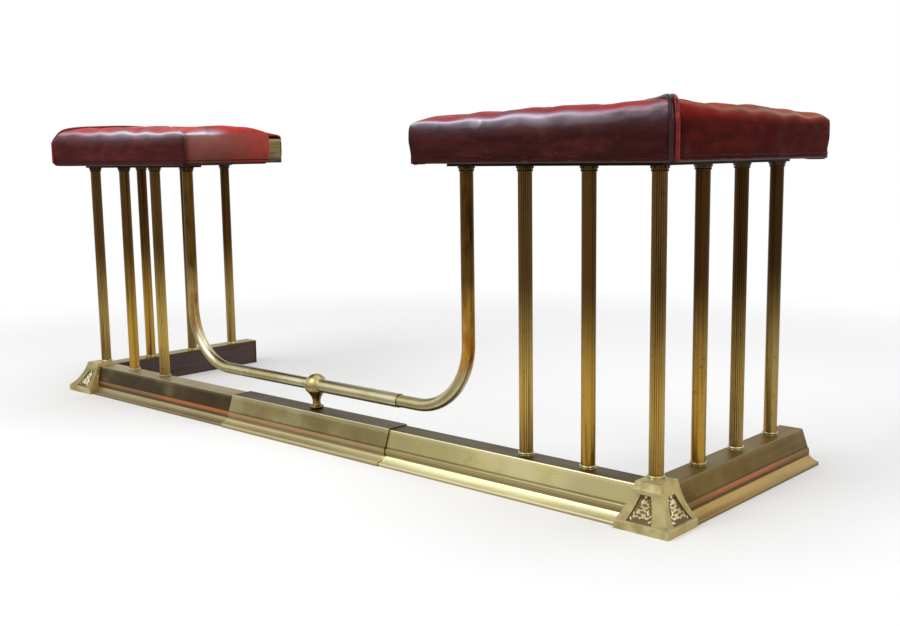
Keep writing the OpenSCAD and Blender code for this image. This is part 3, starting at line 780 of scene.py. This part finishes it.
def finish_half_metal(number, side):
    """The brass of one half."""
    body = side + "_half"
    mark = (number * 3.7, number * 1.3, number * 2.1)
    carry(side + "_front_kerb", body, kerb_brass(
        side + " front kerb brass", *shades(KERB_TONES[side]), ALONG_X, mark,
        **KERB_WEAR_AND_LIGHT[side]), 16)
    carry(side + "_return_kerb", body, kerb_brass(
        side + " return kerb brass", *shades(RETURN_TONES[side]), ALONG_Y, mark, 0.15,
        (-0.13, 0.17, 0.65)), 16)
    note_panel_floor(carry(side + "_corner_block", body, cast_brass(
        side + " cast brass", shade(192, 182, 134), shade(156, 142, 96), mark), 24))
    for place, (post, tones) in enumerate(POST_TONES.items()):
        carry(f"{side}_{post}", body, post_brass(
            f"{side} {post} brass", *shades(tones),
            (place * 1.7 + number, place * 2.9, place * 0.6)), 40)
    carry(side + "_elbow_tube", body, elbow_brass(
        side + " elbow brass", *shades(ELBOW_TONES[side]), mark), 40)
    collar_rings(side, body, plain_brass(
        side + " collar brass", shade(206, 202, 162), shade(140, 128, 90), UPRIGHT, mark, 0.2))
    for node, name, clean, tarnish, stretch, rough, angle in (
        ("post_caps", "cap", (78, 60, 34), (40, 29, 18), UPRIGHT, 0.32, 35),
        ("fireside_plate", "plate", (168, 146, 96), (104, 84, 50), (9, 9, 300), 0.36, 30),
        # The straps are nearly black, as painted shade under the seat.
        ("front_strap", "front_strap", (40, 30, 18), (24, 18, 12), ALONG_X, 0.5, 30),
        ("return_strap", "return_strap", (40, 30, 18), (24, 18, 12), ALONG_X, 0.5, 30),
    ):
        carry(f"{side}_{node}", body, plain_brass(
            f"{side} {name} brass", *shades((clean, tarnish)), stretch, mark, rough),
            angle)


def finish_middle_metal():
    """The brass of the sleeve, the rail's outer tube, its ball and its stem."""
    carry("kerb_sleeve", "centre", kerb_brass(
        "sleeve brass", *shades(KERB_TONES["middle"]), ALONG_X, (1.2, 0.4, 0.7), 0.7,
        (-0.4, 0.12, 0.3)), 16)
    carry("rail_outer_tube", "centre", rail_brass(
        "rail brass", shade(226, 222, 186), shade(180, 166, 118), (0.3, 0, 0)), 40)
    carry("rail_ball", "centre", rail_brass(
        "ball brass", shade(204, 188, 132), shade(140, 118, 70), (0.9, 0, 0)), 40)
    carry("ball_stem", "centre", plain_brass(
        "stem brass", shade(160, 134, 82), shade(92, 70, 38), (60, 60, 200), (0.5, 0, 0), 0.24),
        30)


def finish_hidden_nodes():
    """Timber, iron and the inner brass keep their own nodes, in a better finish."""
    front, back = (
        old_timber(f"timber along the {arm}", stretch)
        for arm, stretch in zip(ARMS, ((8, 120, 120), (120, 8, 120)))
    )
    iron = dark_iron()
    rod = plain_brass("rod brass", shade(150, 124, 76), shade(90, 68, 38), UPRIGHT)
    finishes = {"stem_screw": iron}
    for side in SIDES:
        for name, finish in (
            ("front_kerb_core", front), ("return_kerb_core", back),
            ("front_seat_frame", front), ("return_seat_frame", back),
            ("wood_screws", iron), ("tie_rods", iron), ("tie_nuts", iron), ("elbow_stud", rod),
        ):
            finishes[f"{side}_{name}"] = finish
    for name, finish in finishes.items():
        dress(nodes[name], finish)


# ---- cast ornament on the corner blocks ----


def flare_out(height, face="front"):
    """How far the floor of a sunk panel lies out from the post's centre line at a height."""
    top_out, foot_out = BLOCK_FACES[face][0]
    t = np.linspace(0, 1, 120)
    top = BLOCK_H - PANEL_DEPTH
    heights = top - (top - BLOCK_BAND) * (1.24 * t * (1 - t) + t * t)
    lengths = top_out - PANEL_DEPTH + (foot_out - top_out) * (0.5 * t * (1 - t) + t * t)
    return np.interp(height, heights[::-1], lengths[::-1])


def panel_span(height, face="front"):
    """The middle and the half width of a sunk panel at a height."""
    share = (np.asarray(height) - PANEL_FOOT) / (PANEL_TOP - PANEL_FOOT)
    (foot_from, foot_to), (top_from, top_to) = BLOCK_FACES[face][1:]
    start = foot_from + (top_from - foot_from) * share
    end = foot_to + (top_to - foot_to) * share
    return (start + end) / 2, (end - start) / 2


def boss(share, height, size, turn=0.0):
    """One raised lump of the ornament, at a share of the panel's half width."""
    middle, half = panel_span(height)
    lean = math.atan2(float(flare_out(height - 0.001) - flare_out(height + 0.001)), 0.002)
    bpy.ops.mesh.primitive_uv_sphere_add(
        segments=16, ring_count=10, radius=1,
        location=(float(middle + half * share), -float(flare_out(height)), height),
        rotation=(-lean, turn, 0), scale=size,
    )
    return bpy.context.object


def leaf(share, height, length, turn):
    """A pointed leaf, broad at its middle and raised along it."""
    piece = boss(share, height, (length * 0.46, 0.0014, length), turn)
    bpy.ops.object.mode_set(mode="EDIT")
    work = bmesh.from_edit_mesh(piece.data)
    for vertex in work.verts:
        vertex.select = vertex.co.z > 0.5
    work.select_flush(True)
    bpy.ops.transform.resize(value=(0.4, 0.7, 1.0))
    bpy.ops.object.mode_set(mode="OBJECT")
    return piece


def cast_ornament():
    """A bunch of berries over spread leaves, for the front panel of the right block."""
    random = np.random.default_rng(5)
    lumps = []
    for row, count in enumerate(BERRY_ROWS):
        height = BERRY_TOP - ROW_PITCH * row
        half = float(panel_span(height)[1])
        for k in range(count):
            share = (k - (count - 1) / 2) * BERRY_PITCH / half + random.uniform(-0.05, 0.05)
            size = random.uniform(*BERRY_R)
            lumps.append(boss(share, height + random.uniform(-0.0008, 0.0008), (size, size, size)))
    for _ in range(LUMPS):
        height = random.uniform(0.0150, 0.0370)
        share = random.uniform(-0.62, 0.62)
        size = random.uniform(*LUMP_R)
        lumps.append(boss(share, height, (size, 0.0016, size)))
    for share, height, length, turn in (
        (-0.82, 0.0148, 0.0036, -1.1), (0.82, 0.0148, 0.0036, 1.1),
        (-0.78, 0.0200, 0.0030, -0.8), (0.80, 0.0200, 0.0030, 0.8),
    ):
        lumps.append(leaf(share, height, length, turn))
    ornament = joined(lumps, "right_front_ornament")
    fuse = ornament.modifiers.new("cast in one", "REMESH")
    fuse.mode = "VOXEL"
    fuse.voxel_size = MOULD_VOXEL
    soften = ornament.modifiers.new("soft from the mould", "SMOOTH")
    soften.factor = 0.5
    soften.iterations = 1
    apply_modifiers(ornament)
    points = places(ornament)
    stands = (-points[:, 1] - flare_out(points[:, 2])) / 0.0012
    note(ornament, "panel_floor", 0.6 * np.clip(1 - stands, 0, 1))
    only(ornament)
    bpy.ops.object.shade_smooth()
    return ornament


def add_ornaments():
    """The four ornaments, each bent to its own panel."""
    model = cast_ornament()
    points = places(model)
    finish = cast_brass(
        "ornament brass", shade(222, 216, 186), shade(176, 162, 122), (4, 2, 1), 0.0003, 0.0
    )
    for side in SIDES:
        for face in ARMS:
            name = f"{side}_{face}_ornament"
            piece = model if name == model.name else added(name, model.data.copy())
            across, out, up = points[:, 0], -points[:, 1], points[:, 2]
            if face == "return":
                middle, half = panel_span(up)
                new_middle, new_half = panel_span(up, face)
                across = new_middle + (across - middle) * new_half / half
                out = out - flare_out(up) + flare_out(up, face)
            x = CORNER_X + (across if face == "front" else out)
            y = FRONT_Y - (out if face == "front" else across)
            put(piece, np.column_stack([x if side == "right" else -x, y, up]))
            if (face == "return") != (side == "left"):
                piece.data.flip_normals()
            dress(piece, finish)
            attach(piece, side + "_half")


# ---- leather seats ----


def on_arm(points, arm):
    """How far points lie along and across an arm of the right seat, from its outer corner."""
    out, back = SEAT_CORNER[0] - points[:, 0], points[:, 1] - SEAT_CORNER[1]
    return (out, back) if arm == "front" else (back, out)


def from_arm(along, across, height, arm):
    out, back = (along, across) if arm == "front" else (across, along)
    return np.column_stack([SEAT_CORNER[0] - out, SEAT_CORNER[1] + back, height])


def button_spots(arm):
    """Where the buttons of an arm are, in two rows that step past each other."""
    spots = []
    for row, across in enumerate(BUTTON_ROWS):
        for k in range(8):
            along = BUTTON_PITCH * (k + 0.5 + row / 2)
            if across < along < ARM_LENGTH[arm] - BUTTON_MARGIN:
                spots.append((along, across))
    return spots


def pleat_lines(arm):
    """The folds of an arm: from button to button, and from the buttons to the edges."""
    spots = button_spots(arm)
    lines = []
    for first in spots:
        for second in spots:
            if 0 < second[0] - first[0] < BUTTON_PITCH * 0.6:
                lines.append((first, second))
        edge = 0.0 if first[1] < SEAT_W / 2 else SEAT_W
        lines.append((first, (first[0], edge)))
    return lines


def distance_to_line(along, across, line):
    """How far points of an arm lie from a straight piece of a fold."""
    (a0, b0), (a1, b1) = line
    da, db = a1 - a0, b1 - b0
    t = np.clip(((along - a0) * da + (across - b0) * db) / (da * da + db * db), 0, 1)
    return np.hypot(along - a0 - t * da, across - b0 - t * db)


def stuffed(pad, arm):
    """Fills the pad with a cloth simulation, held at its foot, its mitre and its buttons."""
    start = places(pad)
    along, across = on_arm(start, arm)
    held = (start[:, 2] < PAD_FOOT + 0.008) | (along - across < 0.006)
    for a, b in button_spots(arm):
        held |= (np.hypot(along - a, across - b) < 0.008) & (start[:, 2] > CUSHION_Z + 0.02)
    group = pad.vertex_groups.new(name="sewn")
    group.add(np.nonzero(held)[0].tolist(), 1.0, "REPLACE")
    cloth = pad.modifiers.new("stuffing", "CLOTH")
    stuffing = cloth.settings
    for name, value in (
        ("quality", 6), ("mass", 0.3), ("tension_stiffness", 25), ("compression_stiffness", 25),
        ("shear_stiffness", 12), ("bending_stiffness", 1.5), ("vertex_group_mass", "sewn"),
        ("use_pressure", True), ("uniform_pressure_force", 4),
    ):
        setattr(stuffing, name, value)
    stuffing.effector_weights.gravity = 0
    cloth.collision_settings.use_collision = False
    cloth.point_cache.frame_start = 1
    cloth.point_cache.frame_end = STUFFING_STEPS
    scene = bpy.context.scene
    for step in range(1, STUFFING_STEPS + 1):
        scene.frame_set(step)
    apply_modifiers(pad)
    scene.frame_set(1)
    pad.vertex_groups.clear()
    moved = places(pad) - start
    far = np.linalg.norm(moved, axis=1)
    put(pad, start + moved * np.minimum(1, MOST_SWELL / np.maximum(far, 1e-9))[:, None])


def even_cloth(arm):
    """The leather of one arm of the right seat, of even faces and drawn in to be stuffed."""
    pad = closed_copy(f"right_{arm}_cushion", f"right_{arm}_pad")
    points = places(pad)
    points[points[:, 2] < CUSHION_Z + 0.0005, 2] = PAD_FOOT
    put(pad, points)
    remesh = pad.modifiers.new("even cloth", "REMESH")
    remesh.mode = "VOXEL"
    remesh.voxel_size = CLOTH_VOXEL
    apply_modifiers(pad)
    points, outward = places(pad), normals(pad)
    along, across = on_arm(points, arm)
    lower = points[:, 2] < PAD_FOOT + 0.004
    points -= outward * np.where(lower | (along - across < 0.003), 0, DRAWN_IN)[:, None]
    put(pad, points)
    note(pad, "rise", outward[:, 2])
    return pad


def pleated(points, along, across, over, arm):
    """Sinks the folds and the buttons' pits, and says how deep in one of them each point is."""
    edge = np.minimum(across, SEAT_W - across)
    fold = np.zeros(len(points))
    drop = np.zeros(len(points))
    for line in pleat_lines(arm):
        crease = bell(distance_to_line(along, across, line), FOLD_WIDTH)
        crease *= rising(edge, 0.014, 0.03)
        drop += FOLD_DEPTH * crease
        fold = np.maximum(fold, crease)
    drop = np.minimum(drop, DEEPEST_FOLD)
    for a, b in button_spots(arm):
        pit = bell(np.hypot(along - a, across - b), PIT_WIDTH)
        drop += PIT_DEPTH * pit
        fold = np.maximum(fold, 0.7 * pit)
    points[:, 2] -= drop * over
    return fold * over


def ruffled(points, outward, along, across, seed):
    """Works small waves into the leather, but for its foot and its mitre."""
    rng = np.random.default_rng(seed)
    waves = np.zeros(len(points))
    for _ in range(14):
        turn = rng.uniform(0, 2 * math.pi)
        reach = rng.uniform(0.03, 0.09)
        waves += np.sin(
            (along * math.cos(turn) + across * math.sin(turn) + points[:, 2] * 0.7)
            * 2 * math.pi / reach + rng.uniform(0, 6.28)
        )
    free = rising(points[:, 2] - CUSHION_Z, 0, 0.012) * rising(along - across, 0, 0.01)
    points += outward * (waves * RUFFLE * free)[:, None]


def leather_pad(arm):
    """The padded leather of one arm of the right seat."""
    pad = even_cloth(arm)
    stuffed(pad, arm)
    finer = pad.modifiers.new("finer", "SUBSURF")
    finer.levels = finer.render_levels = 1
    apply_modifiers(pad)
    points, outward = places(pad), normals(pad)
    along, across = on_arm(points, arm)
    inside = np.minimum(np.minimum(across, SEAT_W - across), ARM_LENGTH[arm] - along)
    under = (points[:, 2] < CUSHION_Z - 0.001) & (outward[:, 2] < -0.4) & (inside > 0.0045)
    points[under, 2] = CUSHION_Z - 0.0002
    up = np.clip(outward[:, 2], 0, 1)
    over = rising(points[:, 2] - CUSHION_Z, 0.030, 0.012) * np.clip(up * 2.2, 0, 1)
    fold = pleated(points, along, across, over, arm)
    ruffled(points, outward, along, across, 7 if arm == "front" else 8)
    put(pad, points)
    slack_end(pad, arm)
    note_wear(pad, arm, fold)
    only(pad)
    bpy.ops.object.shade_smooth()
    return pad


def slack_end(pad, arm):
    """Lets the leather hang a little at an arm's free end, and rounds its lower corner."""
    points = places(pad)
    along, across = on_arm(points, arm)
    height = points[:, 2]
    sag = rising(along - ARM_LENGTH[arm], -0.055, 0.045)
    outer = falling(across, 0.05, 0.02)
    height -= END_SAG * sag * sag * outer * falling(height, CUSHION_Z + 0.012, 0.012)
    turn = rising(along - ARM_LENGTH[arm], -0.010, 0.010)
    turn *= falling(height, CUSHION_Z + 0.003, 0.014)
    along -= CORNER_TURN * turn * turn
    put(pad, from_arm(along, across, height, arm))


def note_wear(pad, arm, fold):
    """Marks where the leather is red, polished, creased and lighter at its free end, where a sheen
    and a highlight are painted on its roll, and where shade is painted along its seam and its
    foot, for its finish.
    """
    points, outward = places(pad), normals(pad)
    along, across = on_arm(points, arm)
    left = ARM_LENGTH[arm] - along
    rise = np.empty(len(points))
    pad.data.attributes["rise"].data.foreach_get("value", rise)
    height = points[:, 2] - CUSHION_Z
    peak = 0.56 if arm == "front" else 0.76
    high = rising(height, 0.024, 0.014)
    band = bell(rise - peak + 0.08, 0.32) * high
    core = bell(rise - peak, 0.15) * high
    outer_side = falling(across, 0.10, 0.07)
    outer_side *= outer_side * (3 - 2 * outer_side)
    towards_end = 0.30 + 0.70 * rising(along, 0.06, 0.22)
    # The roll and its core carry a painted sheen and a painted highlight as well as the polish.
    note(pad, "roll", band * outer_side * towards_end)
    note(pad, "gleam", core * outer_side * towards_end)
    below = bell(rise - 0.36, 0.20) * rising(height, 0.02, 0.014)
    note(pad, "flush", below * outer_side if arm == "return" else np.zeros(len(points)))
    # Painted shade along the seam at the free end and along the foot, added to the folds.
    seam = bell(np.hypot(left - 0.003, across - 0.003), 0.006)
    foot = 0.6 * falling(points[:, 2], PAD_FOOT + 0.0042, 0.003)
    note(pad, "fold", np.clip(fold + 0.9 * seam + foot, 0, 1))
    ahead = 0 if arm == "front" else 1
    facing_end = np.abs(outward[:, ahead]) * falling(left, 0.016, 0.012)
    end = rising(facing_end, 0.3, 0.6)
    note(pad, "end", end * (0.45 + 0.55 * rising(height, 0, 0.030)))
    crown = rising(rise, 0.25, 0.55) * rising(height, 0.02, 0.02)
    note(pad, "crown", np.maximum(crown, 0.4 * end * rising(across, 0.09, 0.08)))


def surface_of(pad):
    """A pad's surface, to find where a line meets it."""
    return BVHTree.FromObject(pad, bpy.context.evaluated_depsgraph_get())


def met_from_above(surface, x, y):
    return surface.ray_cast(Vector((x, y, ABOVE_SEAT)), Vector((0, 0, -1)))[0]


def button_set(arm, pad):
    """Leather buttons pulled down into the pad."""
    surface = surface_of(pad)
    made = []
    for a, b in button_spots(arm):
        x, y, _ = from_arm(a, b, 0.0, arm)[0]
        height = met_from_above(surface, x, y).z
        bpy.ops.mesh.primitive_uv_sphere_add(
            segments=24, ring_count=12, radius=BUTTON_R,
            location=(x, y, height + 0.0006), scale=(1, 1, 0.42),
        )
        bpy.ops.object.shade_smooth()
        made.append(bpy.context.object)
    return joined(made, f"right_{arm}_buttons")


def hem_path(arm):
    """The foot of the leather round one arm, from the outer corner to the fire side."""
    length, r = ARM_LENGTH[arm], 0.006
    turns = np.linspace(0.2, math.pi / 2, 6)
    line = [(a, 0.0) for a in np.linspace(0.0085, length - r, 60)]
    line += [(length - r + r * math.sin(t), r - r * math.cos(t)) for t in turns]
    line += [(length, b) for b in np.linspace(r + 0.004, SEAT_W - r, 20)]
    line += [(length - r + r * math.cos(t), SEAT_W - r + r * math.sin(t)) for t in turns]
    line += [(length - r - 0.003, SEAT_W), (length - 0.02, SEAT_W)]
    return line


def hem_cords(arm, pad):
    """Two thin cords round the foot of the leather, lying on the pad's own side."""
    surface = surface_of(pad)
    line = np.array(hem_path(arm))
    ahead = np.gradient(line, axis=0)
    ahead /= np.linalg.norm(ahead, axis=1)[:, None]
    away = np.column_stack([ahead[:, 1], -ahead[:, 0]])
    cords = []
    for height, radius in HEM_CORDS:
        level = np.full(len(line), height)
        stand = from_arm(*(line + away * HEM_REACH).T, level, arm)
        aim = from_arm(*(line - away * HEM_REACH).T, level, arm)
        steps = []
        for start, end in zip(stand, aim):
            start, end = Vector(start), Vector(end)
            hit = surface.ray_cast(start, (end - start).normalized(), 0.022)[0]
            steps.append((hit - start).length if hit is not None else np.nan)
        steps = np.array(steps)
        known = ~np.isnan(steps)
        steps = np.interp(np.arange(len(steps)), np.nonzero(known)[0], steps[known])
        steps = np.convolve(np.pad(steps, 2, mode="edge"), np.ones(5) / 5, mode="valid")
        lie = line + away * (HEM_REACH - steps + radius * 0.35)[:, None]
        points = from_arm(*lie.T, level, arm)
        cords.append(cord_through([tuple(p) for p in points], radius, "hem_cord"))
    return cords


def corner_cords(pads):
    """Two cords up the outer corner of the seat and back over it along the mitre."""
    surfaces = [surface_of(pad) for pad in pads]

    def top_at(out):
        """The seat's height beside the mitre, so far from the outer corner."""
        hits = [
            met_from_above(surface, SEAT_CORNER[0] - out - nudge, SEAT_CORNER[1] + out - nudge)
            for surface in surfaces for nudge in (-0.004, 0.004)
        ]
        return max((hit.z for hit in hits if hit is not None), default=None)

    line = [(WELT_INSET, z) for z in np.linspace(BOARD_Z + 0.0006, 0.492, 24)]
    outs = np.concatenate([np.linspace(0.0085, 0.03, 14), np.linspace(0.034, SEAT_W - 0.006, 36)])
    outs, tops = np.array([(out, top_at(out)) for out in outs if top_at(out)]).T
    tops = np.convolve(np.pad(tops, 3, mode="edge"), np.ones(7) / 7, mode="valid")
    line += [(out, z + 0.0008 + 0.0026 * max(0, 1 - out / 0.05)) for out, z in zip(outs, tops)]
    line = np.array(line)
    for _ in range(3):
        line[1:-1] = (line[:-2] + 2 * line[1:-1] + line[2:]) / 4
    cords = []
    for way in (-1, 1):
        side = way * (WELT_R - 0.0002) / math.sqrt(2)
        points = [
            (SEAT_CORNER[0] - out - side, SEAT_CORNER[1] + out - side, z) for out, z in line
        ]
        cord = cord_through(points, WELT_R, "corner_cord", 5)
        # One of the two cords carries painted shade.
        note(cord, "shaded", np.full(len(cord.data.vertices), 1.0 if way == 1 else 0.0))
        cords.append(cord)
    return joined(cords, "right_corner_cords")


def puffed(piece, arm=None):
    """Swells the left seat, whose stuffing has worked out to its corner and its free end."""
    points = places(piece)
    out = points[:, 0] + SEAT_CORNER[0]
    back = points[:, 1] - SEAT_CORNER[1]
    height = points[:, 2] - CUSHION_Z
    belly = rising(height, -0.012, 0.010) * falling(height, 0.075, 0.030)
    corner = bell(np.hypot(out, back), 0.055)
    points[:, :2] -= (CORNER_PUFF * corner * belly)[:, None]
    points[:, 2] -= TOP_FALL * bell(out, 0.036) * rising(height, 0.026, 0.024)
    if arm == "front":
        end = rising(out - ARM_LENGTH["front"], -0.09, 0.08)
        points[:, 0] += END_PUFF * end * end * (3 - 2 * end)
    put(piece, points)


def add_seats():
    """Both seats: the right one, and its mirror image, puffed, on the left."""
    # The crown, the face and the painted sheen of each leather.
    red_brown = shade(168, 52, 28), shade(56, 8, 3), shade(160, 110, 86)
    purple = shade(158, 16, 20), shade(50, 17, 17), shade(216, 204, 230)
    lighter_red = shade(200, 60, 54), shade(62, 15, 13), shade(238, 222, 244)
    leather = {
        (side, arm): old_leather(f"{side} {arm} leather", *tones)
        for side, arm, *tones in (
            ("right", "front", *purple, 1.0, 0.03, (0, 0, 0.3)),
            ("right", "return", *red_brown, 0.15, 0.008, (2.1, 0.4, 0.3)),
            ("left", "front", *lighter_red, 1.0, 0.03, (1.9, 0.8, 0.3)),
            ("left", "return", *red_brown, 0.3, 0.008, (3.3, 0.6, 0.3)),
        )
    }
    welt = welt_leather("welt leather", shade(98, 16, 14), shade(146, 56, 46))
    hem_finish = welt_leather("hem leather", shade(46, 14, 12), shade(92, 44, 36), 0.04, (2, 1, 0))
    right = {}
    for arm in ARMS:
        pad = leather_pad(arm)
        right[arm] = {"pad": pad, "buttons": button_set(arm, pad)}
    cords = corner_cords([right["front"]["pad"], right["return"]["pad"]])
    hems = {arm: joined(hem_cords(arm, right[arm]["pad"]), f"right_{arm}_hem") for arm in right}
    for side in SIDES:
        body = side + "_half"
        for arm, made in right.items():
            for kind, piece in made.items():
                if side == "left":
                    piece = mirrored(piece, f"left_{arm}_{kind}")
                    puffed(piece, arm)
                dress(piece, leather[side, arm])
                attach(piece, body)
                if kind == "pad":
                    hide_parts(f"{side}_{arm}_cushion")
        trims = [cords, hems["front"], hems["return"]]
        if side == "left":
            trims = [mirrored(trim, trim.name.replace("right", "left")) for trim in trims]
            for trim, arm in zip(trims, (None, "front", "return")):
                puffed(trim, arm)
            # The left seat's cords get no painted shade.
            trims[0].data.attributes.remove(trims[0].data.attributes["shaded"])
        for trim, finish in zip(trims, (welt, hem_finish, hem_finish)):
            dress(trim, finish)
            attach(trim, body)
        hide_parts(side + "_corner_welt")
        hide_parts(side + "_edge_binding")
        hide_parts(side + "_edge_binding")


# ---- floor, light and camera ----


def add_floor():
    """A pale floor that ends in white some way from the fender."""
    bpy.ops.mesh.primitive_plane_add(size=30, location=(0, 0, 0))
    floor = bpy.context.object
    floor.name = "floor"
    f = Finish("pale floor")
    matt = f.node("BsdfDiffuse", {
        "Color": f.blend(f.noise(3, 2), (0.92, 0.92, 0.92, 1), (0.94, 0.94, 0.94, 1)),
    })
    white = f.node("Emission", {"Color": (1, 1, 1, 1), "Strength": 1.0})
    away = f.node("VectorMath", {0: f.spot}, {"operation": "LENGTH"}, "Value")
    far = f.between(away, 1.0, 2.0)
    f.node("OutputMaterial", {"Surface": f.node("MixShader", {0: far, 1: matt, 2: white})})
    floor.data.materials.append(f.material)


def add_world():
    """A white world, at a bit over half its strength where it only lights the fender."""
    world = bpy.data.worlds.new("studio")
    bpy.context.scene.world = world
    world.use_nodes = True
    tree = world.node_tree
    tree.nodes.clear()
    new, link = tree.nodes.new, tree.links.new
    path = new("ShaderNodeLightPath")
    seen = path.outputs["Is Camera Ray"]
    for ray in ("Is Glossy Ray", "Is Transmission Ray"):
        either = new("ShaderNodeMath")
        either.operation = "MAXIMUM"
        link(seen, either.inputs[0])
        link(path.outputs[ray], either.inputs[1])
        seen = either.outputs[0]
    strength = new("ShaderNodeMapRange")
    strength.inputs["To Min"].default_value = 0.55
    strength.inputs["To Max"].default_value = 1.0
    link(seen, strength.inputs["Value"])
    background = new("ShaderNodeBackground")
    background.inputs["Color"].default_value = (1, 1, 1, 1)
    link(strength.outputs[0], background.inputs["Strength"])
    output = new("ShaderNodeOutputWorld")
    link(background.outputs[0], output.inputs["Surface"])


def add_lamps():
    for name, place, size, power, target in (
        ("key", (-0.6, -2.2, 2.4), 1.8, 42, (0.1, 0.0, 0.3)),
        ("fill", (2.6, -0.6, 1.8), 1.6, 20, (0.4, 0.0, 0.3)),
        ("top", (0.0, 0.6, 3.0), 2.4, 26, (0.0, 0.0, 0.0)),
    ):
        lamp = bpy.data.lights.new(name, "AREA")
        lamp.energy = power
        lamp.shape = "SQUARE"
        lamp.size = size
        holder = added(name, lamp)
        holder.location = place
        aim = Vector(target) - Vector(place)
        holder.rotation_euler = aim.to_track_quat("-Z", "Y").to_euler()


def add_camera():
    """The photograph's own camera, as its lines and heights give it."""
    lens = bpy.data.cameras.new("camera")
    lens.lens = 44.409
    lens.sensor_width = 36
    camera = added("camera", lens)
    camera.location = (1.34132, -1.30688, 0.45544)
    camera.rotation_euler = [math.radians(a) for a in (81.82836, 0.82504, 42.14822)]
    bpy.context.scene.camera = camera
    bpy.context.scene.view_settings.view_transform = "Standard"


for number, side in enumerate(SIDES):
    finish_half_metal(number, side)
finish_middle_metal()
finish_hidden_nodes()
add_ornaments()
add_seats()
add_floor()
add_world()
add_lamps()
add_camera()
